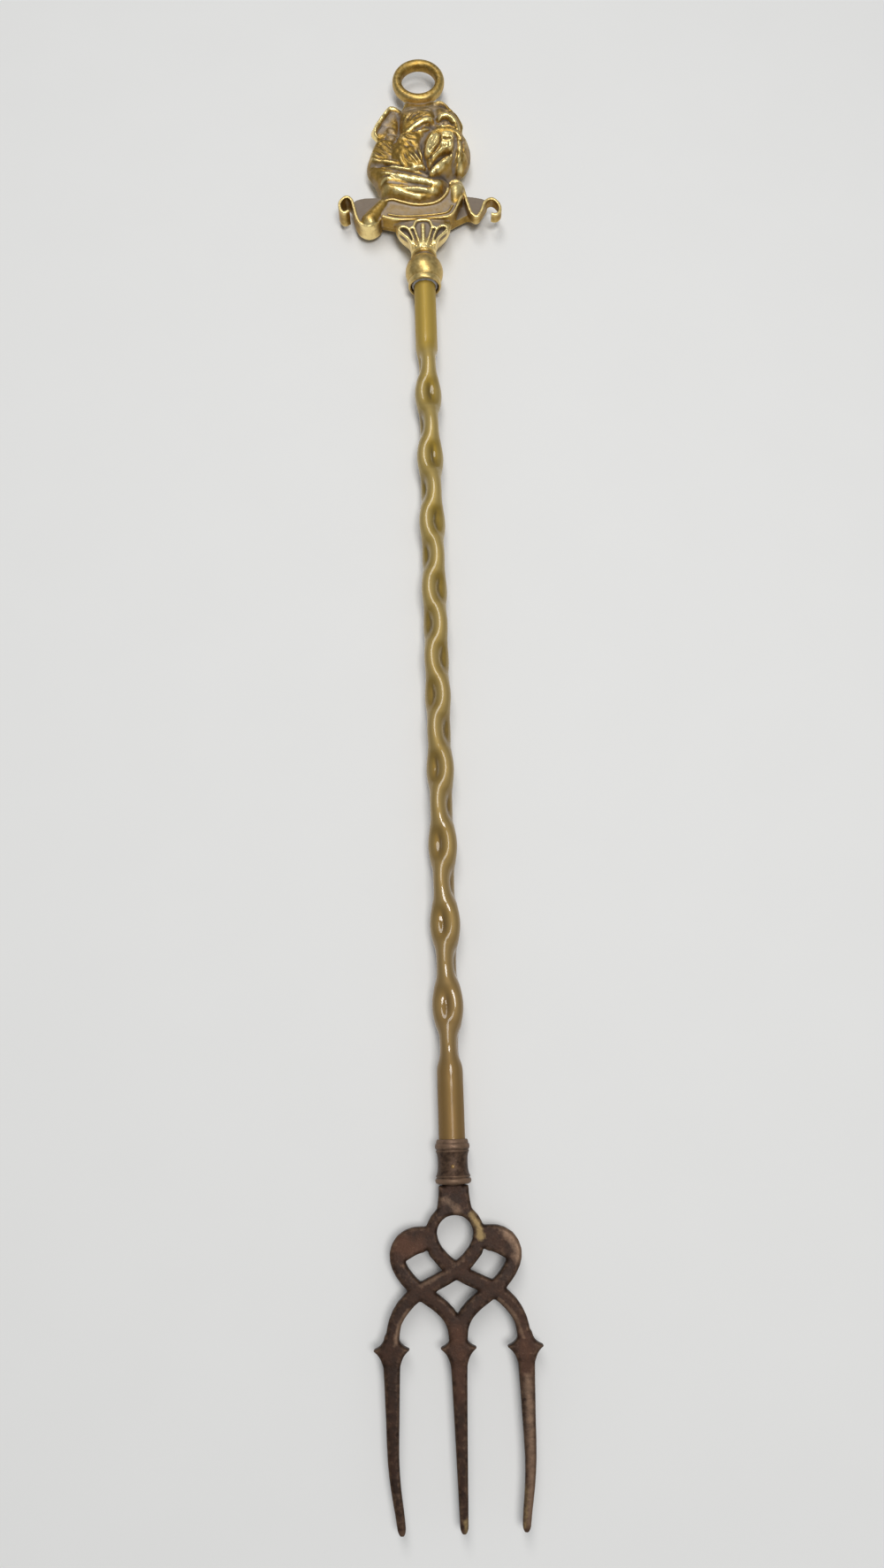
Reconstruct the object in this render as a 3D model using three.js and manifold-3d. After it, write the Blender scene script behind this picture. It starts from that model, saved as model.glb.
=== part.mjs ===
// A brass toasting fork: a crimped tube for a handle, a cast dog's head with a hanging ring at its top
// end, and an openwork fork head with three barbed tines at the other.
//
// Millimetres, +Z up. The fork lies face up: X runs across it and Y along the stem, towards the ring.
// Lengths along the fork are measured from the mouth of the ball, where the stem comes out.

import * as THREE from 'three';
import { mergeVertices } from 'three/addons/utils/BufferGeometryUtils.js';
import Module from 'manifold-3d';

const wasm = await Module();
wasm.setup();

// Clearance between pieces that fit together
const FIT = 0.3;

// Stem tube
const STEM_DIAMETER = 7.9;
const STEM_WALL = 0.8;
const STEM_SHOWN = 302;

// Crimps in the stem: pairs of dimples, each pair a quarter turn round from the last, between plain ends
const CRIMP_COUNT = 20;
const PLAIN_TOP = 33;
const PLAIN_BOTTOM = 26.9;
const CRIMP_SHRINK = 0.25;
const CRIMP_SQUASH = 1.2;
const CRIMP_HOLLOW = 0.35;
// Half width of a dimple, in radians round the stem
const CRIMP_SPREAD = 0.45;
// Crimps fade out over this share of a step beyond the first and the last
const CRIMP_FADE = 0.8;
// The pattern also turns slowly from the first pair to the last, in degrees from the front
const CRIMP_TURN_TOP = 78;
const CRIMP_TURN_BOTTOM = 5;

// Ball knop with a collar on top and a lip round its mouth
const BALL_DIAMETER = 14;
const BALL_CENTRE = 6.5;
const COLLAR_DIAMETER = 9.6;
const COLLAR_HEIGHT = 0.9;
const COLLAR_TOP = 13.9;
const LIP_DIAMETER = 12.1;
const LIP_HEIGHT = 2.6;
const LIP_ROUNDING = 0.8;
const SOCKET_DEPTH = 6.5;

// Solder ring in the mouth of the ball
const SOLDER_WIDTH = 0.6;
const SOLDER_HEIGHT = 1.6;
const SOLDER_RECESS = 0.5;

// Finial casting
const FINIAL_BACK = 3;
const BACK_TRIM = 1;
const SPIGOT_REACH = 11.5;
const SPIGOT_ROOT = 1;
const NECK_DIAMETER = 9.2;
const CALYX_TOP = 28;
const CALYX_HALF_WIDTH = 10.9;
const CALYX_FRONT = 3.6;
const CALYX_RIB_HEIGHT = 0.8;
const CALYX_RIB_WIDTH = 0.9;
const SCROLL_SPAN = 60;
const SCROLL_GROUND = 2;
const SCROLL_FRONT = 2.6;
const SCROLL_THICKNESS = 1.2;
const LEFT_FOLD_RADIUS = 2.8;
const RIGHT_FOLD_RADIUS = 2.6;
const PANEL_FRONT = 3.2;
const PANEL_RIM = 0.6;
const PANEL_RIM_WIDTH = 0.9;
const HEAD_WIDTH = 40;
const HEAD_CENTRE = 63.5;
const HEAD_RIM = 0.4;
const HEAD_FRONT = 4;
const HEAD_CELL = 1.55;

// Hanging ring
const RING_OUTER = 20.4;
const RING_INNER = 13;
const RING_DEPTH = 4.4;
const RING_ROUNDING = 1.5;
const RING_CENTRE = 95;

// Ferrule: a spool with a concave waist between two thin beads. The stem ends in a socket in its top.
const FERRULE_LENGTH = 12.8;
const FERRULE_WAIST = 8.9;
const FERRULE_FLARE = 10;
const UPPER_BEAD_DIAMETER = 10.4;
const LOWER_BEAD_DIAMETER = 10.8;
const BEAD_HEIGHT = 1.9;
const BEAD_INSET = 1.1;
const FERRULE_SOCKET = 3.4;

// Cross pin through the waist of the ferrule and the tang, measured from the top of the ferrule
const PIN_DIAMETER = 1.2;
const PIN_DROP = 7.7;
const PIN_DOME = 0.2;

// Fork head, a flat casting. Distances down it are measured from the lower face of the ferrule.
const PLATE = 4;
const CHAMFER = 0.5;
const TANG_REACH = 22;
const TANG_ROOT = 1;
const NECK_WIDTH = 8.9;
const EYE_WIDTH = 10.8;
const EYE_TOP = 8.3;
const EYE_STRAND_WIDTH = 3.3;
const STRAND_WIDTH = 4.3;
const ARM_WIDTH = 3.9;
const LOBE_SPAN = 38.8;
const BARB_DROP = 44.3;
const BARB_SPAN = 11;
const BARB_RISE = 4;
const TINE_PITCH = 19.3;
const TINE_LENGTH = 47.4;
const TINE_WIDTH = 5.2;
const TINE_TIP_WIDTH = 2.3;
const TINE_TIP_THICKNESS = 2.2;
const TOE_IN = 2.2;

// Facets
const ROUND_SIDES = 24;
const STEM_SIDES = 16;
const STEM_RING_STEP = 3.6;
const RING_SIDES = 28;

const stemRadius = STEM_DIAMETER / 2;
const boreRadius = stemRadius - STEM_WALL;
const spigotRadius = boreRadius - FIT;
const crimpStep = (STEM_SHOWN - PLAIN_TOP - PLAIN_BOTTOM) / (CRIMP_COUNT - 1);
const ferruleTop = -STEM_SHOWN;
const ferruleBottom = ferruleTop - FERRULE_LENGTH;
const forkTop = ferruleBottom - FIT;
const stemTop = SOCKET_DEPTH - FIT;
const stemBottom = ferruleTop - FERRULE_SOCKET + FIT;
const pinHeight = ferruleTop - PIN_DROP;
const neckSeat = COLLAR_TOP + FIT;

const { clamp, lerp, smoothstep } = THREE.MathUtils;

const brass = { color: 0xa8843c, roughness: 0.35, metalness: 1 };
const wornBrass = { color: 0x9c7a38, roughness: 0.4, metalness: 1 };
const patina = { color: 0x4a342a, roughness: 0.55, metalness: 0.8 };
const solder = { color: 0x8d8a82, roughness: 0.5, metalness: 1 };

// Turns a closed geometry into a solid that can be joined and cut
function solid(geometry) {
  const bare = geometry.clone();
  bare.deleteAttribute('normal');
  bare.deleteAttribute('uv');
  const merged = mergeVertices(bare, 1e-4);
  return new wasm.Manifold(new wasm.Mesh({
    numProp: 3,
    vertProperties: new Float32Array(merged.attributes.position.array),
    triVerts: new Uint32Array(merged.index.array),
  }));
}

function toGeometry(body) {
  const mesh = body.getMesh();
  const geometry = new THREE.BufferGeometry();
  geometry.setAttribute('position', new THREE.BufferAttribute(new Float32Array(mesh.vertProperties), 3));
  geometry.setIndex(new THREE.BufferAttribute(new Uint32Array(mesh.triVerts), 1));
  geometry.computeVertexNormals();
  return geometry;
}

function join(bodies) {
  return bodies.reduce((whole, body) => whole.add(body));
}

// Points of an arc in a turned profile, with angles in degrees
function arc(centreRadius, centreHeight, radius, from, to, steps) {
  const points = [];
  for (let step = 0; step <= steps; step += 1) {
    const angle = THREE.MathUtils.degToRad(lerp(from, to, step / steps));
    points.push([centreRadius + radius * Math.cos(angle), centreHeight + radius * Math.sin(angle)]);
  }
  return points;
}

// A profile of [radius, height] points, turned about the Y axis. The outside runs upwards.
function turned(profile, sides = ROUND_SIDES) {
  const points = profile.map(([radius, height]) => new THREE.Vector2(radius, height));
  return new THREE.LatheGeometry(points, sides);
}

// A turned profile that closes on itself, for a piece with a bore
function turnedRing(profile, sides = ROUND_SIDES) {
  return turned([...profile, profile[0]], sides);
}

// A round bar along Y between two heights
function bar(radius, bottom, top, sides = ROUND_SIDES) {
  const cylinder = new THREE.CylinderGeometry(radius, radius, top - bottom, sides);
  cylinder.translate(0, (top + bottom) / 2, 0);
  return solid(cylinder);
}

// A round bar along Z through the point (x, y)
function crossBar(radius, length, x, y, sides = ROUND_SIDES) {
  const cylinder = new THREE.CylinderGeometry(radius, radius, length, sides);
  cylinder.rotateX(Math.PI / 2);
  cylinder.translate(x, y, 0);
  return solid(cylinder);
}

// Outline of a flat band along a smooth curve through the points, with a width at each point
function bandOutline(points, widths, steps) {
  const curve = new THREE.CatmullRomCurve3(points.map(([x, y]) => new THREE.Vector3(x, y, 0)));
  const left = [];
  const right = [];
  for (let step = 0; step <= steps; step += 1) {
    const along = step / steps;
    const place = along * (widths.length - 1);
    const before = Math.min(Math.floor(place), widths.length - 2);
    const half = lerp(widths[before], widths[before + 1], place - before) / 2;
    const point = curve.getPoint(along);
    const tangent = curve.getTangent(along);
    left.push(new THREE.Vector2(point.x - tangent.y * half, point.y + tangent.x * half));
    right.push(new THREE.Vector2(point.x + tangent.y * half, point.y - tangent.x * half));
  }
  return new THREE.Shape([...left, ...right.reverse()]);
}

// A flat shape raised from one height to another, with square edges
function slab(shape, bottom, top) {
  const geometry = new THREE.ExtrudeGeometry(shape, { depth: top - bottom, bevelEnabled: false });
  geometry.translate(0, 0, bottom);
  return geometry;
}

function band(points, width, bottom, top, stepsPerSpan = 3) {
  const widths = points.map(() => width);
  return solid(slab(bandOutline(points, widths, stepsPerSpan * (points.length - 1)), bottom, top));
}

function splineShape(points, steps) {
  const curve = new THREE.CatmullRomCurve3(points.map(([x, y]) => new THREE.Vector3(x, y, 0)), true);
  return new THREE.Shape(curve.getPoints(steps).slice(0, -1).map(({ x, y }) => new THREE.Vector2(x, y)));
}

// Stem

// How far the stem's surface lies from its axis, at an angle round it and a depth below the ball
function crimpedRadius(angle, depth) {
  const place = (depth - PLAIN_TOP) / crimpStep;
  const last = CRIMP_COUNT - 1;
  const fade = smoothstep(place, -CRIMP_FADE, 0) * (1 - smoothstep(place, last, last + CRIMP_FADE));
  const beat = Math.cos(Math.PI * place) * fade;
  const turn = lerp(CRIMP_TURN_TOP, CRIMP_TURN_BOTTOM, clamp(place / last, 0, 1));
  const facing = angle - THREE.MathUtils.degToRad(90 + turn);
  const squash = CRIMP_SQUASH * beat * Math.cos(2 * facing);
  const dimpleFacing = beat > 0 ? facing : facing + Math.PI / 2;
  const fromDimple = Math.asin(Math.sin(dimpleFacing));
  const hollow = CRIMP_HOLLOW * beat ** 2 * Math.exp(-((fromDimple / CRIMP_SPREAD) ** 2));
  return stemRadius - CRIMP_SHRINK * Math.abs(beat) - squash - hollow;
}

// A bar with the stem's crimps, its surface set in from the outside of the stem
function crimpedBar(inset, bottom, top, sides, ringStep) {
  const rings = Math.round((top - bottom) / ringStep);
  const geometry = new THREE.CylinderGeometry(1, 1, 1, sides, rings);
  const position = geometry.attributes.position;
  for (let index = 0; index < position.count; index += 1) {
    const x = position.getX(index);
    const z = position.getZ(index);
    const y = lerp(bottom, top, position.getY(index) + 0.5);
    const angle = Math.atan2(z, x);
    const radius = Math.hypot(x, z) * (crimpedRadius(angle, -y) - inset);
    position.setXYZ(index, radius * Math.cos(angle), y, radius * Math.sin(angle));
  }
  return solid(geometry);
}

function stemTube() {
  const outside = crimpedBar(0, stemBottom, stemTop, STEM_SIDES, STEM_RING_STEP);
  const from = stemBottom - STEM_WALL;
  const to = stemTop + STEM_WALL;
  const bore = crimpedBar(STEM_WALL, from, to, STEM_SIDES / 2, 2 * STEM_RING_STEP);
  return outside.subtract(bore);
}

// Ball knop and its solder

function ballKnop() {
  const ballRadius = BALL_DIAMETER / 2;
  const collarRadius = COLLAR_DIAMETER / 2;
  const lipRadius = LIP_DIAMETER / 2;
  const socketRadius = stemRadius + FIT;
  const mouthRadius = stemRadius + SOLDER_WIDTH + 2 * FIT;
  const mouthDepth = SOLDER_RECESS + SOLDER_HEIGHT + FIT;
  const holeRadius = spigotRadius + FIT;
  const collarBottom = COLLAR_TOP - COLLAR_HEIGHT;
  const ballAngle = (height) => {
    const rise = clamp((height - BALL_CENTRE) / ballRadius, -0.98, 0.98);
    return THREE.MathUtils.radToDeg(Math.asin(rise));
  };
  return turnedRing([
    [mouthRadius, 0],
    ...arc(lipRadius - LIP_ROUNDING, LIP_ROUNDING, LIP_ROUNDING, -90, 0, 3),
    ...arc(0, BALL_CENTRE, ballRadius, ballAngle(LIP_HEIGHT), ballAngle(collarBottom), 8),
    [collarRadius, collarBottom],
    [collarRadius, COLLAR_TOP],
    [holeRadius, COLLAR_TOP],
    [holeRadius, SOCKET_DEPTH],
    [socketRadius, SOCKET_DEPTH],
    [socketRadius, mouthDepth],
    [mouthRadius, mouthDepth],
  ]);
}

function solderRing() {
  const inner = stemRadius + FIT;
  const outer = inner + SOLDER_WIDTH;
  const top = SOLDER_RECESS + SOLDER_HEIGHT;
  return turnedRing([
    [inner, SOLDER_RECESS],
    [lerp(inner, outer, 0.5), SOLDER_RECESS + SOLDER_WIDTH / 4],
    [outer, SOLDER_RECESS + SOLDER_WIDTH],
    [outer, top],
    [inner, top],
  ]);
}

// Finial: neck and calyx

function calyx() {
  const neckRadius = NECK_DIAMETER / 2;
  const height = CALYX_TOP - neckSeat;
  const flare = [[0, 0], [0.11, 0.02], [0.26, 0.11], [0.36, 0.29], [0.54, 0.7], [0.75, 0.89], [1, 1]];
  const profile = flare.map(([up, out]) => [lerp(neckRadius, CALYX_HALF_WIDTH, out), neckSeat + up * height]);
  const geometry = turned([[0, neckSeat], ...profile, [0, CALYX_TOP]]);
  const position = geometry.attributes.position;
  const widthAt = (y) => {
    const next = Math.max(1, profile.findIndex(([, top]) => top >= y - 1e-6));
    const [widthBelow, below] = profile[next - 1];
    const [widthAbove, above] = profile[next];
    return lerp(widthBelow, widthAbove, clamp((y - below) / (above - below), 0, 1));
  };
  // The round neck flattens as it widens into the fan
  for (let index = 0; index < position.count; index += 1) {
    const y = position.getY(index);
    const z = position.getZ(index);
    const up = (y - neckSeat) / height;
    const depth = lerp(neckRadius, z > 0 ? CALYX_FRONT : FINIAL_BACK, smoothstep(up, 0, 0.5));
    position.setZ(index, z * depth / widthAt(y));
  }
  return solid(geometry);
}

// Ribs of the fan: straight ones from the neck and a looped petal at each side.
// Places are in hundredths of the calyx's half width and of its height.
const CALYX_RIBS = [
  [[0, 8], [0, 80]],
  [[11, 10], [22, 40], [32, 72]],
  [[30, 9], [36, 37], [48, 62]],
  [[32, 72], [48, 62], [60, 70], [73, 71], [82, 62], [74, 51], [50, 30], [39, 12]],
];
const CALYX_BAR = [[-31, 73], [-22, 88], [0, 92], [22, 88], [31, 73]];

function calyxRibs() {
  const front = CALYX_FRONT + CALYX_RIB_HEIGHT;
  const height = CALYX_TOP - neckSeat;
  const rib = (path, side) => {
    const points = path.map(([x, up]) => [side * x / 100 * CALYX_HALF_WIDTH, neckSeat + up / 100 * height]);
    return band(points, CALYX_RIB_WIDTH, 0, front);
  };
  const ribs = CALYX_RIBS.flatMap((path) => [rib(path, 1), rib(path, -1)]);
  return join([...ribs, rib(CALYX_BAR, 1)]);
}

// Finial: scroll, in hundredths of its span from the middle of the calyx's top edge

const PANEL_TOP_EDGE = [
  [-24, 13.5], [-18, 14.7], [-12.7, 12.8], [-4.3, 10.7], [4.8, 11], [11.7, 13.8], [16, 20],
];
const PANEL_LOWER_EDGE = [[-25, 2.5], [-18, 0.5], [-6.7, -0.5], [3.3, -0.2], [15, 0.5]];
const LEFT_WAVE = [
  [-47.7, 7.8], [-51, 8.5], [-51.7, 15.2], [-48, 19.5], [-44.5, 17.5], [-42.3, 8.2], [-38.7, 0.2],
  [-33.7, -1.8], [-29.3, 0.8], [-26.7, 6.5],
];
const RIGHT_WAVE = [
  [15, 0.5], [19.3, 3.5], [22.7, 11.2], [25.7, 17.5], [28.7, 10.8], [30.7, 4.2], [34, 1.5], [37.2, 6.8],
  [39.7, 13.2], [44, 15.2], [48, 10.8], [48.7, 5.5], [44.3, 3.5],
];
const RIGHT_LOBE_EDGE = [[19, 26], [22.5, 28], [25.3, 25], [26.8, 20], [28.7, 10.8]];
const SCROLL_FIELD = [
  [-44, 17.5], [-35, 20.8], [-23.3, 20.2], [0, 22.5], [21.7, 20.8], [33.3, 19.2], [40, 14.8], [37, 6],
  [34, 2.4], [30.3, 3.2], [23.3, 0.8], [13.3, -2.5], [-13.3, -2.5], [-24.3, 0.2], [-29.3, 0.2], [-34, -2.7],
  [-39.3, -0.2], [-42.3, 8.2],
];
const LEFT_FOLD = [[-24.7, 11.5], [-32.7, 2.8]];
const RIGHT_FOLD = [[21.7, 24.3], [20.5, 12]];

function onScroll(points) {
  const unit = SCROLL_SPAN / 100;
  return points.map(([x, y]) => [x * unit, CALYX_TOP + y * unit]);
}

// A rounded fold of the scroll between two points: a bar with round ends, filled down to the back
function scrollFold(from, to, radius, height) {
  const start = new THREE.Vector3(from[0], from[1], height);
  const end = new THREE.Vector3(to[0], to[1], height);
  const capsule = new THREE.CapsuleGeometry(radius, start.distanceTo(end), 4, 12);
  const along = end.clone().sub(start).normalize();
  capsule.applyQuaternion(new THREE.Quaternion().setFromUnitVectors(new THREE.Vector3(0, 1, 0), along));
  const middle = start.add(end).multiplyScalar(0.5);
  capsule.translate(middle.x, middle.y, middle.z);
  return solid(capsule).add(band([from, to], 2 * radius, -FINIAL_BACK - BACK_TRIM, height));
}

function scroll() {
  const back = -FINIAL_BACK - BACK_TRIM;
  const rim = PANEL_FRONT + PANEL_RIM;
  const panel = onScroll([...PANEL_TOP_EDGE, ...[...PANEL_LOWER_EDGE].reverse()]);
  const leftFold = onScroll(LEFT_FOLD);
  const rightFold = onScroll(RIGHT_FOLD);
  return join([
    solid(slab(splineShape(onScroll(SCROLL_FIELD), 60), back, SCROLL_GROUND - FINIAL_BACK)),
    solid(slab(new THREE.Shape(panel.map(([x, y]) => new THREE.Vector2(x, y))), back, PANEL_FRONT)),
    band(onScroll(PANEL_TOP_EDGE), PANEL_RIM_WIDTH, back, rim),
    band(onScroll(PANEL_LOWER_EDGE), PANEL_RIM_WIDTH, back, rim),
    band(onScroll(LEFT_WAVE), SCROLL_THICKNESS, back, SCROLL_FRONT),
    band(onScroll(RIGHT_WAVE), SCROLL_THICKNESS, back, SCROLL_FRONT),
    band(onScroll(RIGHT_LOBE_EDGE), SCROLL_THICKNESS, back, SCROLL_FRONT),
    scrollFold(...leftFold, LEFT_FOLD_RADIUS, LEFT_FOLD_RADIUS / 2),
    scrollFold(...rightFold, RIGHT_FOLD_RADIUS, 0),
  ]);
}

// Finial: dog's head, in hundredths of its width from its middle

const HEAD_OUTLINE = [
  [47.5, -5], [45, 6], [41, 14.2], [42, 24.2], [38, 34.5], [31.5, 44], [24.5, 50.5], [16.5, 58], [0, 58],
  [-16.5, 58], [-17, 50], [-19, 44], [-26.5, 47], [-33, 41], [-39.8, 30], [-46.5, 16.5], [-45.5, 11],
  [-41.5, 7.5], [-45.5, 0], [-50, -11.5], [-51.5, -22.5], [-48, -35], [-42, -47.5], [-35, -60], [0, -67.5],
  [20, -60], [27.5, -41.5], [36, -35.5], [43, -30.5], [47, -18.8],
];

// Mounds and hollows: centre, reach along and across, turn in degrees, height
const HEAD_MOUNDS = {
  forehead: [[0, 26], [22.5, 15], 0, 3.8],
  muzzle: [[19, -14], [24, 29], 0, 10],
  nose: [[25.5, -6.5], [10, 8], 0, 6.5],
  leftLip: [[10.5, -15], [16.5, 8], 62, 4.8],
  rightLip: [[31, -16.5], [14, 6.5], 90, 3],
  chin: [[18.5, -35], [15, 8], 40, 5],
  leftCheek: [[-12.5, -6.5], [12.5, 15], 0, 3.5],
  rightJowl: [[40, -23], [7, 12], 0, 4.5],
  leftEye: [[3.8, 12], [8, 5.7], 10, -4.8],
  rightEye: [[27, 15.5], [7.5, 5.5], -10, -4.8],
  leftEar: [[-31, 26], [18.5, 10], 52, -6.5],
  underEar: [[-26, 8.5], [8.5, 8.5], 0, -3.5],
};

// Folds and grooves: path, half width, height
const HEAD_FOLDS = {
  leftBrow: [[[-10.5, 10], [-3.8, 15], [3.8, 20], [10, 20.5], [15, 17.5]], 5.5, 4],
  rightBrow: [[[18.5, 21.5], [24, 24], [30, 21.5], [36, 14.5]], 5.5, 4.2],
  noseRoll: [[[5.7, -6], [11, 1.7], [17.5, 5.2], [24.8, 5], [32, 2.2], [37.2, -2.8]], 5, 3],
  leftEarRim: [
    [[-18.5, 37], [-26.5, 42.5], [-32, 36.5], [-39.2, 24.5], [-44, 15.5], [-41.5, 10.5]], 5.5, 5.5,
  ],
  rightEarRim: [[[16.5, 45], [24, 47.5], [30, 42.5], [31.5, 37.5]], 5, 3.5],
  mouth: [[[25.5, -16.5], [19, -24], [11, -33]], 4.8, -6.5],
  foreheadFurrow: [[[14.5, 30], [15.5, 22.5]], 4.8, -3],
  cheekGroove: [[[12.5, 15], [6.8, 6.5], [2.5, -3.5], [0.5, -11.5]], 5, -4],
  jowlGroove: [[[32.5, -0.5], [33.5, -12.5], [31.5, -25]], 4.2, -2.5],
  outerJowlFold: [[[-19, -13], [-17, -23], [-11, -31]], 4.5, 2.2],
  innerJowlFold: [[[-6.5, -14.5], [-3, -22], [1.5, -30]], 5, 2.5],
  throatGroove: [[[-47.2, -23.2], [-35.5, -28.5], [-14, -34.8], [11.5, -42.5]], 5, -4],
  upperNeckRoll: [[[-47.5, -35.5], [-33, -39], [-14, -44], [14, -49.5]], 6.5, 4.5],
  lowerNeckRoll: [[[-37.5, -48.5], [-30, -53], [-4, -58.5], [10.7, -58.5]], 5.5, 3.2],
};

function moundHeight(x, y, [[centreX, centreY], [along, across], turn, height]) {
  const angle = THREE.MathUtils.degToRad(turn);
  const dx = x - centreX;
  const dy = y - centreY;
  const u = (dx * Math.cos(angle) + dy * Math.sin(angle)) / along;
  const v = (dy * Math.cos(angle) - dx * Math.sin(angle)) / across;
  return height * Math.max(0, 1 - u * u - v * v) ** 1.5;
}

function foldHeight(x, y, [path, halfWidth, height]) {
  const point = new THREE.Vector3(x, y, 0);
  const nearest = new THREE.Vector3();
  let distance = Infinity;
  for (let index = 1; index < path.length; index += 1) {
    const start = new THREE.Vector3(...path[index - 1], 0);
    const end = new THREE.Vector3(...path[index], 0);
    new THREE.Line3(start, end).closestPointToPoint(point, true, nearest);
    distance = Math.min(distance, nearest.distanceTo(point));
  }
  return height * Math.max(0, 1 - (distance / halfWidth) ** 2) ** 1.5;
}

// How far out a point lies between the middle of a closed outline and its edge: 0 in the middle, 1 there
function shareOut(x, y, edge) {
  const cross = (ax, ay, bx, by) => ax * by - ay * bx;
  for (let index = 0; index < edge.length; index += 1) {
    const from = edge[index];
    const to = edge[(index + 1) % edge.length];
    if (cross(from.x, from.y, x, y) >= 0 && cross(x, y, to.x, to.y) > 0) {
      const run = to.clone().sub(from);
      return cross(x, y, run.x, run.y) / cross(from.x, from.y, run.x, run.y);
    }
  }
  return 0;
}

// Height of the relief over the head's own ground, both in hundredths of its width
function reliefHeight(x, y) {
  const mounds = Object.values(HEAD_MOUNDS).reduce((sum, mound) => sum + moundHeight(x, y, mound), 0);
  const folds = Object.values(HEAD_FOLDS).reduce((sum, fold) => sum + foldHeight(x, y, fold), 0);
  return mounds + folds;
}

// A block raised into the head's relief, trimmed to its outline
function dogHead() {
  const unit = HEAD_WIDTH / 100;
  const outline = splineShape(HEAD_OUTLINE.map(([x, y]) => [x * unit, y * unit]), 72);
  const edge = outline.getPoints();
  const box = new THREE.Box2().setFromPoints(edge).expandByScalar(HEAD_CELL);
  const size = box.getSize(new THREE.Vector2());
  const middle = box.getCenter(new THREE.Vector2());
  const columns = Math.round(size.x / HEAD_CELL);
  const rows = Math.round(size.y / HEAD_CELL);
  const geometry = new THREE.BoxGeometry(size.x, size.y, 2, columns, rows, 1);
  geometry.translate(middle.x, middle.y, 0);
  const position = geometry.attributes.position;
  for (let index = 0; index < position.count; index += 1) {
    const x = position.getX(index);
    const y = position.getY(index);
    const share = Math.min(shareOut(x, y, edge), 1);
    const relief = unit * reliefHeight(x / unit, y / unit) * clamp(4 * (1 - share), 0.35, 1);
    const front = lerp(HEAD_FRONT, HEAD_RIM, share ** 6) + relief;
    position.setZ(index, position.getZ(index) > 0 ? front : -FINIAL_BACK - 2 * BACK_TRIM);
  }
  const cutter = slab(outline, -FINIAL_BACK - BACK_TRIM, HEAD_WIDTH);
  return solid(geometry).intersect(solid(cutter)).translate(0, HEAD_CENTRE, 0);
}

function finial() {
  const spigot = bar(spigotRadius, -SPIGOT_REACH, neckSeat + SPIGOT_ROOT);
  const relief = join([dogHead(), scroll()]);
  const trimmings = new THREE.BoxGeometry(2 * SCROLL_SPAN, 2 * SCROLL_SPAN, 2 * BACK_TRIM);
  trimmings.translate(0, HEAD_CENTRE, -FINIAL_BACK - BACK_TRIM);
  const saddle = crossBar(RING_OUTER / 2 + FIT, RING_DEPTH + 2 * FIT, 0, RING_CENTRE, 48);
  return join([relief.subtract(solid(trimmings)), calyx(), calyxRibs(), spigot]).subtract(saddle);
}

function hangingRing() {
  const half = RING_DEPTH / 2 - RING_ROUNDING;
  const inner = RING_INNER / 2 + RING_ROUNDING;
  const outer = RING_OUTER / 2 - RING_ROUNDING;
  const geometry = turnedRing([
    ...arc(outer, -half, RING_ROUNDING, -90, 0, 2),
    ...arc(outer, half, RING_ROUNDING, 0, 90, 2),
    ...arc(inner, half, RING_ROUNDING, 90, 180, 2),
    ...arc(inner, -half, RING_ROUNDING, 180, 270, 2),
  ], RING_SIDES);
  geometry.rotateX(Math.PI / 2);
  geometry.translate(0, RING_CENTRE, 0);
  return geometry;
}

// Ferrule and its pin

function pinHole() {
  return crossBar(PIN_DIAMETER / 2 + FIT, 2 * LOWER_BEAD_DIAMETER, 0, pinHeight, 16);
}

function ferrule() {
  const waist = FERRULE_WAIST / 2;
  const flare = FERRULE_FLARE / 2;
  const socketRadius = stemRadius + FIT;
  const tangHole = spigotRadius + FIT;
  const waistBottom = ferruleBottom + BEAD_INSET + BEAD_HEIGHT / 2;
  const waistTop = ferruleTop - BEAD_INSET - BEAD_HEIGHT;
  const bead = (diameter, bottom) => {
    const proud = diameter / 2 - flare + FIT;
    return [-1, -0.5, 0.5, 1].map((step) => [
      flare - FIT + proud * Math.sqrt(1 - step * step),
      bottom + (1 + step) / 2 * BEAD_HEIGHT,
    ]);
  };
  const spool = [0, 0.15, 0.35, 0.65, 0.85, 1].map((share) => [
    lerp(waist, flare, (2 * share - 1) ** 4),
    lerp(waistBottom, waistTop, share),
  ]);
  const body = turnedRing([
    [tangHole, ferruleBottom],
    ...bead(LOWER_BEAD_DIAMETER, ferruleBottom).slice(1),
    ...spool.slice(1),
    ...bead(UPPER_BEAD_DIAMETER, waistTop),
    [socketRadius + FIT, ferruleTop],
    [socketRadius, ferruleTop],
    [socketRadius, ferruleTop - FERRULE_SOCKET],
    [tangHole, ferruleTop - FERRULE_SOCKET],
  ]);
  return solid(body).subtract(pinHole());
}

function ferrulePin() {
  const radius = PIN_DIAMETER / 2;
  const half = FERRULE_WAIST / 2;
  const geometry = turned([
    [0, -half - PIN_DOME], [radius * 0.7, -half - PIN_DOME * 0.6], [radius, -half],
    [radius, half], [radius * 0.7, half + PIN_DOME * 0.6], [0, half + PIN_DOME],
  ], 16);
  geometry.rotateX(Math.PI / 2);
  geometry.translate(0, pinHeight, 0);
  return geometry;
}

// Fork head, with x across and the drop below the ferrule as [x, drop] points

function plate(shape) {
  const geometry = new THREE.ExtrudeGeometry(shape, {
    depth: PLATE - 2 * CHAMFER,
    bevelSize: CHAMFER,
    bevelOffset: -CHAMFER,
    bevelThickness: CHAMFER,
    bevelSegments: 1,
    curveSegments: 4,
  });
  geometry.translate(0, 0, CHAMFER - PLATE / 2);
  return geometry;
}

function fromFerrule(points, side = 1) {
  return points.map(([x, drop]) => [side * x, forkTop - drop]);
}

function strand(points, widths, side) {
  return solid(plate(bandOutline(fromFerrule(points, side), widths, 2 * (points.length - 1))));
}

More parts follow.
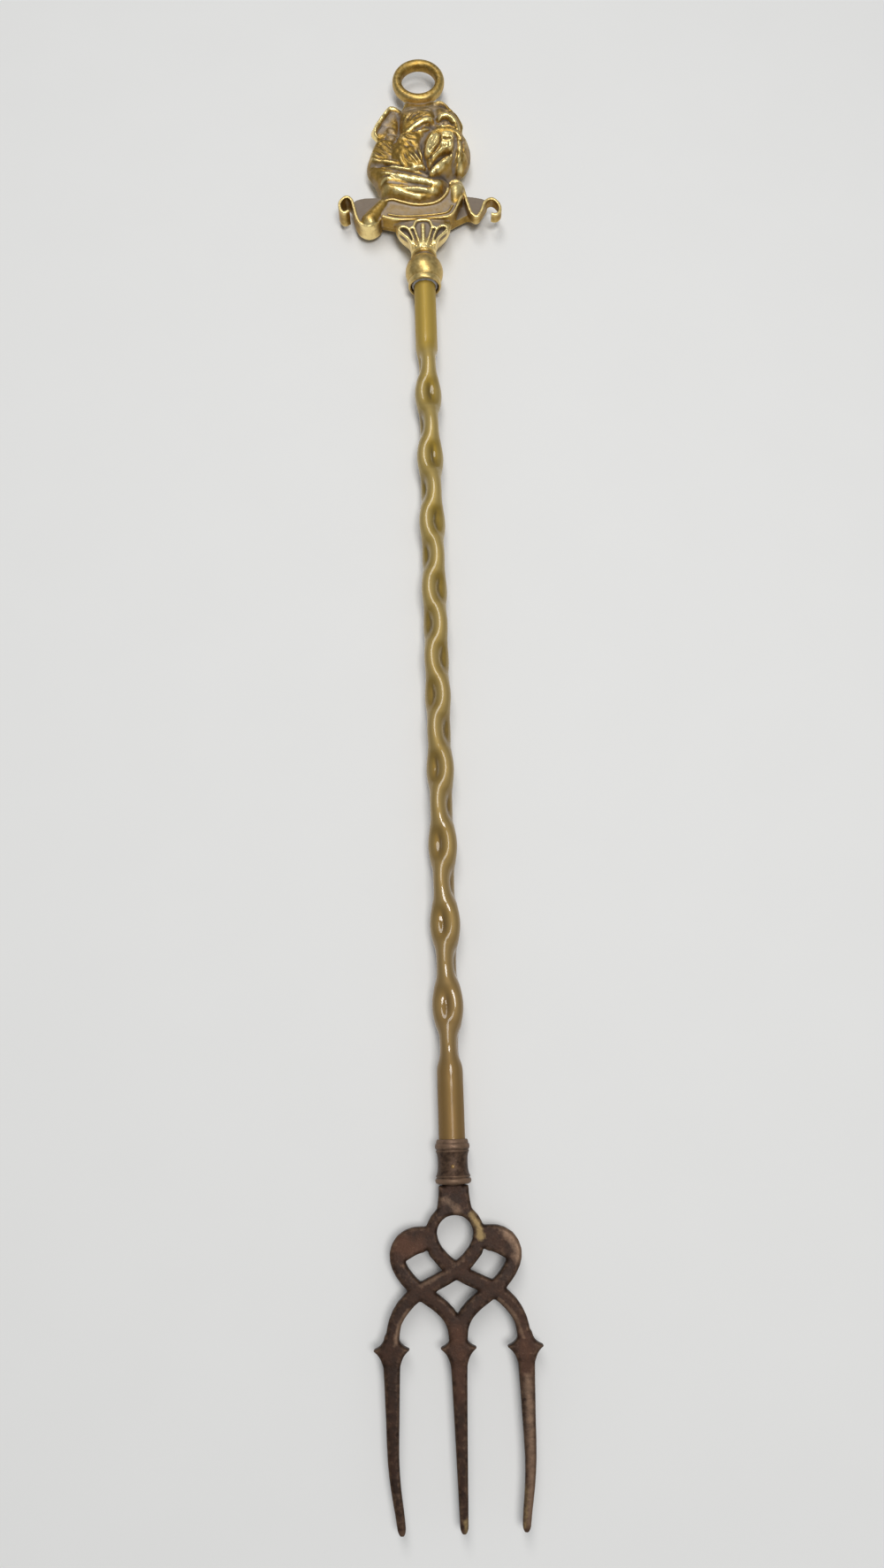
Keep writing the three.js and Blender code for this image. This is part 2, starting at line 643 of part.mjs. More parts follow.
// Middle line of the strands that arch over the eye, at an angle from its right-hand side
function eyeArch(degrees) {
  const radius = (EYE_WIDTH + EYE_STRAND_WIDTH) / 2;
  const angle = THREE.MathUtils.degToRad(degrees);
  return [radius * Math.cos(angle), EYE_TOP + EYE_WIDTH / 2 - radius * Math.sin(angle)];
}

// Neck, flaring from the ferrule to the shoulders over the eye
function forkNeck() {
  const half = NECK_WIDTH / 2;
  const [shoulder, shoulderDrop] = eyeArch(25);
  const arch = fromFerrule([155, 120, 90, 60, 25].map(eyeArch));
  const shape = new THREE.Shape();
  shape.moveTo(half, forkTop);
  shape.lineTo(-half, forkTop);
  shape.quadraticCurveTo(-half, forkTop - shoulderDrop / 2, -shoulder, forkTop - shoulderDrop);
  arch.slice(1).forEach(([x, y]) => shape.lineTo(x, y));
  shape.quadraticCurveTo(half, forkTop - shoulderDrop / 2, half, forkTop);
  return solid(plate(shape));
}

// The openwork, in hundredths of the span of the lobes: strands that cross under the eye and become the
// outer arms, strands that loop out round the lobes and run in to the middle tine, and the leaf in each lobe
const UNDER_EYE = [[15.2, 46.9], [0, 61.1], [-17.3, 69.8], [-29.6, 75.8], [-40.2, 85.1]];
const LOBE_STRAND = [
  [19.6, 35.1], [30.9, 34.8], [40.2, 39.2], [44.5, 47.9], [42.9, 56.7], [36.9, 66], [28.4, 74.2], [15.5, 83],
  [6.7, 91.2], [2.6, 99.5], [1.5, 108.2],
];
const LOBE_LEAF = [
  [17.5, 33.5], [28.4, 30.9], [38.7, 35.1], [43.8, 43.8], [42.8, 55.2], [36.6, 52.6], [29.1, 48.7],
  [21.4, 46.1],
];

function ofSpan(points) {
  const unit = LOBE_SPAN / 100;
  return points.map(([x, drop]) => [x * unit, drop * unit]);
}

function eyeStrand(side) {
  const over = [95, 65, 35, 5].map(eyeArch);
  const under = ofSpan(UNDER_EYE);
  const outside = -TINE_PITCH;
  const arm = [
    [outside + 0.3 * ARM_WIDTH, BARB_DROP - 1.8 * BARB_RISE],
    [outside + 0.1 * ARM_WIDTH, BARB_DROP - 0.8 * BARB_RISE],
    [outside, BARB_DROP],
  ];
  const widths = [
    ...over.map(() => EYE_STRAND_WIDTH),
    ...under.map(() => STRAND_WIDTH),
    ...arm.map(() => ARM_WIDTH),
  ];
  return strand([...over, ...under, ...arm], widths, side);
}

function lobeStrand(side) {
  return strand(ofSpan(LOBE_STRAND), LOBE_STRAND.map(() => STRAND_WIDTH), side);
}

function lobeLeaf(side) {
  return solid(plate(splineShape(fromFerrule(ofSpan(LOBE_LEAF), side), 18)));
}

// A tine with its barbs. The outer tines toe in towards their tips.
function tine(side) {
  const barbLevel = forkTop - BARB_DROP;
  const middle = side * TINE_PITCH;
  const root = TINE_WIDTH / 2;
  const arm = ARM_WIDTH / 2;
  const tip = BARB_SPAN / 2;
  const hollow = lerp(root, tip, 0.2);
  const barbs = new THREE.Shape();
  barbs.moveTo(middle - arm, barbLevel + BARB_RISE);
  barbs.quadraticCurveTo(middle - arm, barbLevel + BARB_RISE / 4, middle - tip, barbLevel);
  barbs.quadraticCurveTo(middle - hollow, barbLevel - BARB_RISE / 3, middle - root, barbLevel - BARB_RISE);
  barbs.lineTo(middle + root, barbLevel - BARB_RISE);
  barbs.quadraticCurveTo(middle + hollow, barbLevel - BARB_RISE / 3, middle + tip, barbLevel);
  barbs.quadraticCurveTo(middle + arm, barbLevel + BARB_RISE / 4, middle + arm, barbLevel + BARB_RISE);
  const shares = [0, 0.2, 0.4, 0.6, 0.75, 0.88, 0.97, 1];
  const path = shares.map((share) => [
    middle - side * TOE_IN * smoothstep(share, 0.6, 1.06),
    barbLevel - share * TINE_LENGTH,
  ]);
  const widths = shares.map((share) => {
    const blunt = Math.sqrt(clamp((1.01 - share) / 0.04, 0, 1));
    return lerp(TINE_WIDTH, TINE_TIP_WIDTH, share ** 0.8) * Math.max(0.4, blunt);
  });
  const prong = plate(bandOutline(path, widths, 14));
  const position = prong.attributes.position;
  for (let index = 0; index < position.count; index += 1) {
    const share = clamp((barbLevel - position.getY(index)) / TINE_LENGTH, 0, 1);
    position.setZ(index, position.getZ(index) * lerp(1, TINE_TIP_THICKNESS / PLATE, share));
  }
  return solid(plate(barbs)).add(solid(prong));
}

function forkHead() {
  const tang = bar(spigotRadius, forkTop - TANG_ROOT, forkTop + TANG_REACH);
  const openwork = [1, -1].flatMap((side) => [eyeStrand(side), lobeStrand(side), lobeLeaf(side)]);
  const tines = [-1, 0, 1].map(tine);
  return join([forkNeck(), ...openwork, ...tines, tang]).subtract(pinHole());
}

// Assembly

function piece(name, shape, finish) {
  const geometry = shape.isBufferGeometry ? shape : toGeometry(shape);
  const mesh = new THREE.Mesh(geometry, new THREE.MeshStandardMaterial(finish));
  mesh.name = name;
  return mesh;
}

const fork = new THREE.Group();
fork.add(
  piece('hanging_ring', hangingRing(), wornBrass),
  piece('dog_head_finial', finial(), brass),
  piece('ball_knop', ballKnop(), brass),
  piece('socket_solder', solderRing(), solder),
  piece('stem_tube', stemTube(), brass),
  piece('fork_ferrule', ferrule(), patina),
  piece('ferrule_pin', ferrulePin(), wornBrass),
  piece('fork_head', forkHead(), patina),
);

// The origin is on the table, under the middle of the fork's length
const ringTop = RING_CENTRE + RING_OUTER / 2;
const tineTip = forkTop - BARB_DROP - TINE_LENGTH;
const restHeight = Math.max(BALL_DIAMETER, LOWER_BEAD_DIAMETER) / 2;
fork.position.set(0, -(ringTop + tineTip) / 2, restHeight);

export default fork;
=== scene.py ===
"""The looks of a brass toasting fork with a dog's-head finial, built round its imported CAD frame."""
import math

import bmesh
import bpy
import numpy as np
from mathutils import Matrix, Vector, noise


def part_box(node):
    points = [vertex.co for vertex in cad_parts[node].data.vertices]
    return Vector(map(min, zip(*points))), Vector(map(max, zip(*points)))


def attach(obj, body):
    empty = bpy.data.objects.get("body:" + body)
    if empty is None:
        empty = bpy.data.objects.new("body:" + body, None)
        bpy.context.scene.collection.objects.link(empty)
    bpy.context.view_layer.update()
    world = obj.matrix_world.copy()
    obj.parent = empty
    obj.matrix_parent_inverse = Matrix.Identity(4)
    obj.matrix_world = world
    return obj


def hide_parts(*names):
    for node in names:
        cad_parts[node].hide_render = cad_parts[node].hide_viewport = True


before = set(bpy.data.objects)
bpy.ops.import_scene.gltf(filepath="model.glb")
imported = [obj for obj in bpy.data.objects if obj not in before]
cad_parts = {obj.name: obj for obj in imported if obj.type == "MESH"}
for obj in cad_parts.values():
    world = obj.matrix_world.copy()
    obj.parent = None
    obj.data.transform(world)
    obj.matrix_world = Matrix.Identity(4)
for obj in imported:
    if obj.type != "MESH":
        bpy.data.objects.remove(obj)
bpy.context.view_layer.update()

# Sizes are in millimetres, in the fork's own axes: X across it, Y along the stem from just below the mouth of
# the ball towards the ring, and Z up from the axis of the stem. The frame says where those axes lie.
MM = 0.001
MOUTH_RISE = 1.5
ball_low, ball_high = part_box("ball_knop")
MOUTH = ball_low.y / MM - MOUTH_RISE
AXIS_HEIGHT = (ball_low.z + ball_high.z) / 2 / MM
FORK_ORIGIN = (0, MOUTH, AXIS_HEIGHT)


def node_box(node):
    """A node's lowest and highest corner in the fork's own axes, in millimetres."""
    low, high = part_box(node)
    return low / MM - Vector(FORK_ORIGIN), high / MM - Vector(FORK_ORIGIN)


# Meshes


def new_object(name, data):
    """An object that is linked to the scene."""
    made = bpy.data.objects.new(name, data)
    bpy.context.scene.collection.objects.link(made)
    return made


def link_piece(name, mesh, node, slot):
    """Puts a piece in the scene, with its own copy of its slot's finish."""
    piece = new_object(name, mesh)
    mesh.materials.append(FINISHES[slot]())
    mesh.shade_smooth()
    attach(piece, "root")
    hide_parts(node)


def plain_mesh(name, bm):
    """A mesh from a bmesh as it is, which is used up."""
    mesh = bpy.data.meshes.new(name)
    bm.to_mesh(mesh)
    bm.free()
    return mesh


def to_mesh(name, bm):
    """A mesh in metres in the frame's axes, from a bmesh in millimetres in the fork's axes."""
    bmesh.ops.recalc_face_normals(bm, faces=bm.faces)
    bmesh.ops.translate(bm, verts=bm.verts, vec=FORK_ORIGIN)
    bmesh.ops.scale(bm, verts=bm.verts, vec=(MM, MM, MM))
    return plain_mesh(name, bm)


def read_vectors(mesh, kind):
    """The place or the normal of each vertex, one row each."""
    flat = np.empty(len(mesh.vertices) * 3)
    mesh.vertices.foreach_get(kind, flat)
    return flat.reshape(-1, 3)


def fork_points(mesh):
    """A mesh's points in millimetres in the fork's own axes."""
    return read_vectors(mesh, "co") / MM - FORK_ORIGIN


def set_points(mesh, points):
    mesh.vertices.foreach_set("co", np.ascontiguousarray(points, dtype=np.float64).ravel())
    mesh.update()


def relax(mesh, values, rounds, strength=0.5):
    """Averages values at the vertices with their neighbours, so many times over."""
    edges = np.empty(len(mesh.edges) * 2, dtype=np.int64)
    mesh.edges.foreach_get("vertices", edges)
    a, b = edges[0::2], edges[1::2]
    count = np.bincount(edges, minlength=len(mesh.vertices)).astype(float)
    count[count == 0] = 1
    values = values.copy()
    for _ in range(rounds):
        total = np.empty_like(values)
        for axis in range(values.shape[1]):
            column = values[:, axis]
            total[:, axis] = np.bincount(a, column[b], len(column)) + np.bincount(b, column[a], len(column))
        values += strength * (total / count[:, None] - values)
    return values


def fuse(name, parts, voxel, rounds):
    """One skin round several overlapping closed bodies, with its edges softened."""
    bm = bmesh.new()
    for part in parts:
        mesh = plain_mesh("part", part)
        bm.from_mesh(mesh)
        bpy.data.meshes.remove(mesh)
    rough = new_object(name, to_mesh(name, bm))
    remesh = rough.modifiers.new("skin", "REMESH")
    remesh.mode = "VOXEL"
    remesh.voxel_size = voxel * MM
    bpy.context.view_layer.update()
    skin = bpy.data.meshes.new_from_object(rough.evaluated_get(bpy.context.evaluated_depsgraph_get()))
    bpy.data.objects.remove(rough)
    set_points(skin, relax(skin, read_vectors(skin, "co"), rounds))
    return skin


def open_edges(bm):
    return [edge for edge in bm.edges if edge.is_boundary]


def verts_in(geometry):
    return [item for item in geometry if isinstance(item, bmesh.types.BMVert)]


# Marks of wear and of painted light and shade, kept as attributes that the finishes read

# Of each piece: rounds of smoothing that find its fine and its broad form, depth of that, polish and painted
# light all over
# The polish all over is painted light: painted shade that darkens the ring, a painted highlight on the ball
# and a painted sheen on the ferrule
WEAR_AND_SHADING = {
    "dog_head": (12, 300, 0.75, 0),
    "scroll_and_calyx": (6, 150, 0.6, 0),
    "hanging_ring": (4, 30, 0.5, -0.12),
    "ball_knop": (2, 8, 0.5, 0.4),
    "stem_tube": (20, 80, 0.5, 0),
    "fork_ferrule": (4, 30, 0.5, 0.42),
    "fork_head": (6, 50, 0.5, 0),
}
FINE_DEPTH = 0.12
# Crevices deeper than this share of the fine depth are darkened with painted shade
CREVICE_FROM = 0.25


def mark(mesh, name, extra):
    """Adds to the share, 0 to 1, that each vertex is marked with."""
    layer = mesh.attributes.get(name) or mesh.attributes.new(name, "FLOAT", "POINT")
    shares = np.empty(len(mesh.vertices), dtype=np.float32)
    layer.data.foreach_get("value", shares)
    layer.data.foreach_set("value", np.clip(shares + extra, 0, 1).astype(np.float32))


def mark_wear_and_shading(mesh, piece):
    """Marks how far each vertex lies in a hollow, on a ridge and in a sharp crevice: grey dirt lies in the
    hollows, the ridges are polished and painted with highlights, and the crevices take painted shade.
    """
    fine_rounds, broad_rounds, broad_depth, polish_and_light = WEAR_AND_SHADING[piece]
    points = read_vectors(mesh, "co")
    normals = read_vectors(mesh, "normal")
    fine = relax(mesh, points, fine_rounds)
    broad = relax(mesh, fine, broad_rounds - fine_rounds)
    near = np.sum((fine - points) * normals, axis=1) / (FINE_DEPTH * MM)
    far = np.sum((broad - points) * normals, axis=1) / (broad_depth * MM)
    depth = relax(mesh, (0.5 * near + 0.5 * far)[:, None], 2)[:, 0]
    mark(mesh, "hollow", depth)
    mark(mesh, "ridge", -depth)
    mark(mesh, "ridge", polish_and_light)
    mark(mesh, "crevice", relax(mesh, (near - CREVICE_FROM)[:, None], 1)[:, 0])


# Shaping


def smooth_path(points, per_span=6, closed=False):
    """Points on a smooth curve through the given ones."""
    given = np.array(points, dtype=float)
    if closed:
        given = np.vstack([given[-1], given, given[:2]])
    else:
        given = np.vstack([2 * given[0] - given[1], given, 2 * given[-1] - given[-2]])
    steps = np.linspace(0, 1, per_span, endpoint=False)[:, None]
    spans = []
    for p0, p1, p2, p3 in zip(given, given[1:], given[2:], given[3:]):
        slope = 0.5 * (p2 - p0)
        next_slope = 0.5 * (p3 - p1)
        rise = p2 - p1
        spans.append(p1 + steps * slope + steps**2 * (3 * rise - 2 * slope - next_slope)
                     + steps**3 * (slope + next_slope - 2 * rise))
    if not closed:
        spans.append(given[-2][None])
    return np.vstack(spans)


def ramp(value, start, end):
    """A share that goes evenly from 0 at the start to 1 at the end."""
    return np.clip((value - start) / (end - start), 0, 1)


def smooth_step(value, start, end):
    share = ramp(value, start, end)
    return share * share * (3 - 2 * share)


def bell(away, half_width):
    return np.exp(-((away / half_width) ** 2))


def soft_max(a, b, blend):
    share = np.clip(0.5 + 0.5 * (a - b) / blend, 0, 1)
    return b + (a - b) * share + blend * share * (1 - share)


def nearest_on(path, x, y):
    """Distance from each place to a path of (x, y, level) points, and the level where it is nearest."""
    distance = np.full(x.shape, np.inf)
    level = np.zeros(x.shape)
    for (ax, ay, az), (bx, by, bz) in zip(path, path[1:]):
        dx, dy = bx - ax, by - ay
        share = np.clip(((x - ax) * dx + (y - ay) * dy) / (dx * dx + dy * dy), 0, 1)
        away = np.hypot(x - ax - share * dx, y - ay - share * dy)
        closer = away < distance
        distance = np.where(closer, away, distance)
        level = np.where(closer, az + share * (bz - az), level)
    return distance, level


def away_from(points, x, y):
    """Distance from each place to a smooth path through (x, y) points."""
    return nearest_on(smooth_path([(*point, 0) for point in points]), x, y)[0]


def spread_over(strokes, x, y):
    """How strongly each place lies under any of the strokes, which are path, half width and strength."""
    share = np.zeros(len(x))
    for path, half_width, strength in strokes.values():
        share = np.maximum(share, strength * bell(away_from(path, x, y), half_width))
    return share


def inside(outline, x, y):
    """Which places lie inside a closed outline."""
    crossed = np.zeros(x.shape, dtype=bool)
    for (ax, ay), (bx, by) in zip(outline, np.roll(outline, -1, axis=0)):
        if ay == by:
            continue
        spans = (ay > y) != (by > y)
        crossed ^= spans & (x < ax + (y - ay) * (bx - ax) / (by - ay))
    return crossed


def spin_round(bm, axis, steps):
    """Carries the lines of a bmesh one full turn about an axis."""
    bmesh.ops.spin(bm, geom=bm.verts[:] + bm.edges[:], axis=axis, cent=(0, 0, 0),
                   angle=2 * math.pi, steps=steps, use_merge=True)


def turned(profile, steps=64):
    """A closed profile of (radius, along) points turned about the stem's axis."""
    bm = bmesh.new()
    loop = [bm.verts.new((radius, along, 0)) for radius, along in profile]
    for first, second in zip(loop, loop[1:] + loop[:1]):
        bm.edges.new((first, second))
    spin_round(bm, (0, 1, 0), steps)
    bmesh.ops.remove_doubles(bm, verts=bm.verts, dist=1e-4)
    bmesh.ops.recalc_face_normals(bm, faces=bm.faces)
    return bm


# Dog's head: a relief in places measured from the middle of the head, with levels above the stem's axis

HEAD_CENTRE = 65.0
HEAD_GRID = 256
HEAD_BACK = node_box("dog_head_finial")[0].z
HEAD_BASE = 2.6
DOME_POWER = 5
HEAD_SOFTENING = 2

# The edge of the relief: its level by the ears, how much lower it is by the jowls, and where it goes down
HEAD_RIM = 0.4
EDGE_DROP = 2.2
EDGE_DROP_ALONG = (3, -3)

# The edge is rounded over a tenth of the way to the middle, and over more of it on the neck
EDGE_STEEPNESS = 10.0
NECK_STEEPNESS = 4.5
NECK_ALONG = (-4, -10)
EDGE_SHARE = 0.995

# The back edge is drawn in, and the back of the ear hollowed
BACK_DRAFT = 0.9
EAR_LIFT = 2.4
EAR_ACROSS = (-10, -14)
EAR_ALONG = (1, 3)

HEAD_OUTLINE = [
    (19.2, -2), (17.9, 2.4), (16.4, 5.8), (16.7, 9.3), (15.6, 12.6), (14.2, 15.4), (12.3, 17.4), (11.2, 19),
    (9.6, 20.6), (7.4, 20.9), (5, 21.9), (3, 21.4), (0, 21.05), (-3, 21.4), (-5, 21.9), (-6, 19.4),
    (-7.3, 16.6), (-8.4, 17.6), (-9.8, 18.4), (-11.8, 18.5), (-13.1, 17.4), (-15.6, 13.5), (-17.6, 10),
    (-18.8, 7.2), (-18.6, 5.2), (-17.6, 3.9), (-16.6, 3.2), (-18.1, 0.8), (-19.8, -3.3), (-20.7, -7),
    (-20.6, -11), (-19.2, -13.8), (-17.6, -16.8), (-16.4, -20), (-14, -24), (0, -27), (8, -24), (10.6, -17),
    (13, -14.8), (15.2, -13.4), (17.4, -10.8), (18.8, -7),
]

# Pads of the relief: outline, level at the edge, level on top, width of the rounded edge
PAD_BLEND = 0.5
PAD_SLOPE = 4
HEAD_PADS = {
    "skull": ([
        (-8.6, 14), (-5, 16.6), (0, 17.6), (6, 17.6), (11, 15.8), (14, 13), (15.6, 9), (16, 3), (17.4, -2),
        (17.2, -8), (15, -12), (10, -14), (5, -16), (-1, -13.8), (-6, -12.4), (-11, -9.6), (-12.4, -5),
        (-10.5, 1), (-8.6, 6), (-8.4, 11),
    ], 1.2, 5.0, 6.5),
    "neck": ([
        (-21.4, -9), (-21, -14), (-18.4, -19.4), (-15.4, -25), (-4, -28), (4, -27.8), (9.6, -24.4),
        (11.4, -18), (8, -14.6), (0, -12.4), (-10, -9.6),
    ], -0.6, 3.4, 6.0),
    "jowls": ([
        (-8.6, -2.6), (-8, -8), (-5, -12.4), (-1, -14), (2.2, -13.8), (1.4, -9), (0.4, -3.6), (-3, -1.6),
    ], 3.2, 5.2, 2.2),
    "ruff": ([
        (-16.4, 2.4), (-18.4, -0.6), (-19.9, -5), (-20.2, -9.6), (-12, -11), (-8, -5), (-9.6, 2),
    ], 0.8, 3.5, 4.0),
    "ear": ([
        (-7.4, 16.6), (-10.6, 18.3), (-13, 16.1), (-15.8, 11.9), (-18.3, 6.6), (-17.9, 4.4), (-15.6, 2.8),
        (-12, 5), (-9.4, 9.6), (-7.8, 13),
    ], 0.6, 2.0, 1.2),
    "ear_inside": ([
        (-8.6, 14.6), (-10.8, 15), (-13.2, 11.8), (-14.6, 8.8), (-12.6, 8), (-10, 10), (-8.4, 12.4),
    ], 2.0, 2.9, 1.8),
    "ear_lobe": ([
        (-12.6, 7), (-10.4, 7.4), (-9, 5.6), (-9.6, 4.2), (-11.6, 4.4), (-12.8, 5.6),
    ], 2.0, 3.1, 1.6),
    "ear_foot": ([
        (-12.8, 3.6), (-10.4, 4), (-8.8, 2.6), (-9.4, 0.8), (-11.4, 0.6), (-12.8, 1.8),
    ], 2.0, 3.4, 1.7),
    "muzzle": ([
        (2, 1.6), (5, 4), (9, 4.6), (13, 3.4), (15, 0), (15, -5), (13.6, -10), (10, -14.4), (5, -16.2),
        (2.6, -13.6), (0.6, -9), (0.4, -3),
    ], 4.6, 6.9, 5.0),
    "left_cheek": ([
        (-8.2, 2.4), (-4.4, 3.6), (-0.6, 2.4), (1, -0.6), (-0.2, -3.6), (-3.6, -5), (-7, -4.2), (-8.8, -1),
    ], 3.8, 5.7, 3.4),
    "right_cheek": ([(14.8, -0.4), (17, 0.6), (18.4, -3), (17.4, -6.2), (15.2, -6)], 2.6, 4.5, 1.6),
    "right_jowl": ([
        (14.2, -6), (16.8, -5.6), (18.3, -8), (17, -11), (15, -13), (13.4, -13.2), (13.2, -10),
    ], 2.2, 4.8, 3.0),
    "right_lip": ([
        (11.8, -1.4), (13.6, -2), (13.8, -6), (12.8, -10), (11.2, -11), (10.8, -7),
    ], 5.6, 7.6, 1.5),
    "chin": ([
        (12, -9.8), (12.2, -11.4), (10.2, -13.8), (6.8, -16.6), (4, -17.4), (3, -16.2), (4.4, -14.2),
        (7.6, -11.6), (10.2, -9.6),
    ], 4.6, 6.9, 1.6),
    "left_flew": ([
        (7.5, -1.5), (5.8, -0.3), (3.6, -1.6), (2, -5), (1.4, -8.4), (2, -10.4), (4, -10.8), (6.4, -9.4),
        (8.4, -7), (8.2, -3.8),
    ], 6.4, 8.9, 2.0),
    "upper_lip": ([
        (7.5, -4.6), (12.6, -4.6), (12.4, -6.8), (10.9, -8.4), (8.6, -9.4), (6, -11.8), (4.6, -12.8),
        (4, -11.8), (5.2, -10.2), (7, -8.2),
    ], 6.8, 8.8, 1.2),
    "nose": ([
        (7.7, -1.9), (8.8, -0.9), (11.6, -0.9), (12.8, -2.2), (12.7, -4.2), (11.8, -5.4), (9.6, -5.6),
        (7.8, -4.8),
    ], 7.6, 9.6, 1.1),
}

# Rolls of the relief, as round cords laid on it: path with levels, radius
ROLL_BLEND = 0.4
ROLL_SLOPE = 3
HEAD_ROLLS = {
    "left_brow": ([
        (-4.6, 3.4, 5.2), (-1.5, 5.4, 5.9), (1.5, 7.4, 6.4), (4.1, 7.9, 6.4), (6, 6.6, 5.9),
    ], 1.3),
    "right_brow": ([
        (6.9, 8.2, 6.1), (8.5, 9.4, 6.5), (10.8, 9.3, 6.6), (12.8, 7.4, 6.3), (14.2, 4.4, 5.2),
    ], 1.3),
    "nose_roll": ([
        (3.2, -1.8, 6.6), (4.3, -0.3, 7), (5.7, 0.9, 7.2), (7.9, 1.8, 7.3), (10.6, 2, 7.3), (13.3, 1, 6.8),
        (15.1, -0.8, 5.8),
    ], 1.5),
    "ear_rim": ([
        (-7.8, 14.6, 3), (-9.6, 15.8, 3.5), (-11.5, 16, 3.7), (-12.7, 14.7, 3.8), (-15, 10.9, 3.8),
        (-17, 7.6, 3.6), (-17.7, 5.6, 3.2), (-17.2, 4.4, 2.4),
    ], 1.35),
    "right_ear": ([(6.2, 17.8, 3.2), (8.4, 19, 3.2), (10.6, 18.2, 3.0), (12, 15.8, 2.8)], 1.3),
    "left_lid": ([(-2.2, 3.1, 5.1), (0.6, 3.2, 5.5), (3.2, 4.2, 5.6)], 0.5),
    "left_upper_lid": ([(-2.2, 3.9, 5.2), (0.6, 5.3, 5.6), (3.4, 6.2, 5.8)], 0.4),
    "right_lid": ([(7.2, 4.9, 5.8), (9, 4.4, 6.1), (11.2, 4.7, 6.1), (13.2, 4.2, 5.5)], 0.65),
    "outer_jowl": ([(-7.4, -4.6, 4.4), (-7.4, -8, 4.9), (-6.6, -10.6, 4.7), (-4.6, -12.2, 4.1)], 1.2),
    "middle_jowl": ([(-5, -5.6, 5.1), (-3.4, -8.4, 5.7), (-1.6, -11, 5.6), (-0.6, -12.4, 4.9)], 0.75),
    "inner_jowl": ([(-3.3, -6, 5.4), (-1.9, -8.6, 5.8), (-0.3, -11, 5.6)], 0.65),
    "groove_fold": ([(-0.7, -2.6, 5.5), (-0.3, -6.4, 6.0), (0.5, -9, 5.8), (1, -11.6, 5.2)], 0.8),
    "jowl_hem": ([(-4.4, -13, 4.2), (-2.6, -13.2, 5), (0.4, -13.2, 5.4), (2, -13.2, 4.9)], 0.75),
    "right_fold": ([(14, 0.2, 4.8), (14.8, -3.2, 5.6), (14.8, -6.6, 5.5), (14.1, -9.6, 4.6)], 0.85),
    "strap": ([
        (-19.8, -7.4, 2.4), (-15, -8.4, 3.6), (-8.6, -10.2, 4.0), (-3, -12.2, 3.8), (1, -14.4, 3.4),
    ], 1.15),
    "throat_line": ([
        (-14.6, -10.8, 2.9), (-11, -11.6, 3.7), (-6, -13, 4.1), (0, -14.8, 4.2), (3, -15.8, 3.4),
    ], 0.6),
    "neck_roll": ([
        (-19.6, -12.6, 1.6), (-14.6, -14.1, 3.4), (-9, -15.7, 4.0), (-3, -17.5, 4.4), (2, -18.7, 4.5),
        (6.4, -19.2, 3.9), (9.2, -18.6, 2.4),
    ], 1.8),
    "neck_hook": ([(-15.6, -18.6, 2.8), (-15, -17.2, 3.4), (-13, -16.6, 3.7), (-10.6, -16.6, 3.4)], 0.65),
    "middle_line": ([(-6.6, -20.8, 3), (-2.6, -21.7, 3.8), (2, -22.4, 3.9), (6.2, -22.4, 2.8)], 0.7),
    "low_line": ([(-13, -20.8, 2.8), (-9.6, -21.6, 3.5), (-5, -23, 3.5), (0, -24.4, 2.6)], 0.65),
    "upper_ruff": ([(-15.9, -1.4, 3), (-13.6, -3.6, 3.9), (-11.2, -6, 3.5)], 0.5),
    "middle_ruff": ([(-11.7, -0.4, 3.2), (-10, -2.4, 4.0), (-8.4, -4.6, 3.6)], 0.5),
    "lower_ruff": ([(-17.1, -3.6, 2.8), (-15, -5.6, 3.7), (-12.9, -7.1, 3.4)], 0.5),
}

# Cuts in the relief: path, half width, depth
HEAD_CUTS = {
    "mouth": ([(11.4, -8.6), (8.6, -10.1), (5.4, -12.9), (3.6, -14.4)], 0.55, 2.2),
    "outer_flew_line": ([(6.2, -1.4), (4.5, -3.8), (3, -7.4)], 0.35, 0.3),
    "inner_flew_line": ([(7, -3.8), (5.4, -6.2), (3.2, -9.4)], 0.35, 0.3),
    "flew_edge": ([(7.8, -2.6), (7.5, -5), (6, -8), (3.8, -10.8)], 0.35, 0.7),
    "left_eye_shade": ([(-1, 4.6), (1.4, 5.4), (4, 5.9), (5.6, 5)], 0.9, 0.6),
    "right_eye_shade": ([(8, 6), (10.2, 6.4), (12.6, 5.8)], 0.8, 0.6),
    "nostrils": ([(8.7, -4.3), (10, -4.7), (11.5, -4.4)], 0.42, 0.9),
    "forehead_furrow": ([(5.6, 13.4), (6.3, 10), (6.3, 7)], 1.2, 0.9),
    "brow_valley": ([(5.4, 7), (4, 4), (2.3, 1.4), (1, -1.2), (0.3, -4.6)], 1.5, 1.2),
    "jowl_groove": ([(0.9, -7), (1.3, -10.6), (2.3, -14.2)], 0.75, 0.9),
    "right_groove": ([(13.3, -0.6), (13.2, -4.3), (12.6, -8.4), (12, -12.4)], 0.85, 1.3),
    "throat": ([(-19.4, -8.8), (-17.2, -9.5), (-14.6, -10.3), (-12, -10.8)], 0.6, 0.8),
    "under_chin": ([(-2, -14.2), (1, -15), (5.4, -16.6)], 0.8, 0.7),
    "neck_hollow": ([(-13.4, -18), (-8, -19), (-2, -20.2), (3, -20.8)], 0.8, 0.5),
    "under_ear": ([(-7.6, 12), (-8, 7.6), (-8, 3), (-9.4, 0.6)], 0.9, 1.2),
    "cheek_crease": ([(-6.4, 1.4), (-4.4, -0.2), (-2, -0.8)], 0.6, 0.35),
    "lower_cheek_crease": ([(-7.2, -1.8), (-5, -3.2), (-2.8, -3.8)], 0.6, 0.35),
}

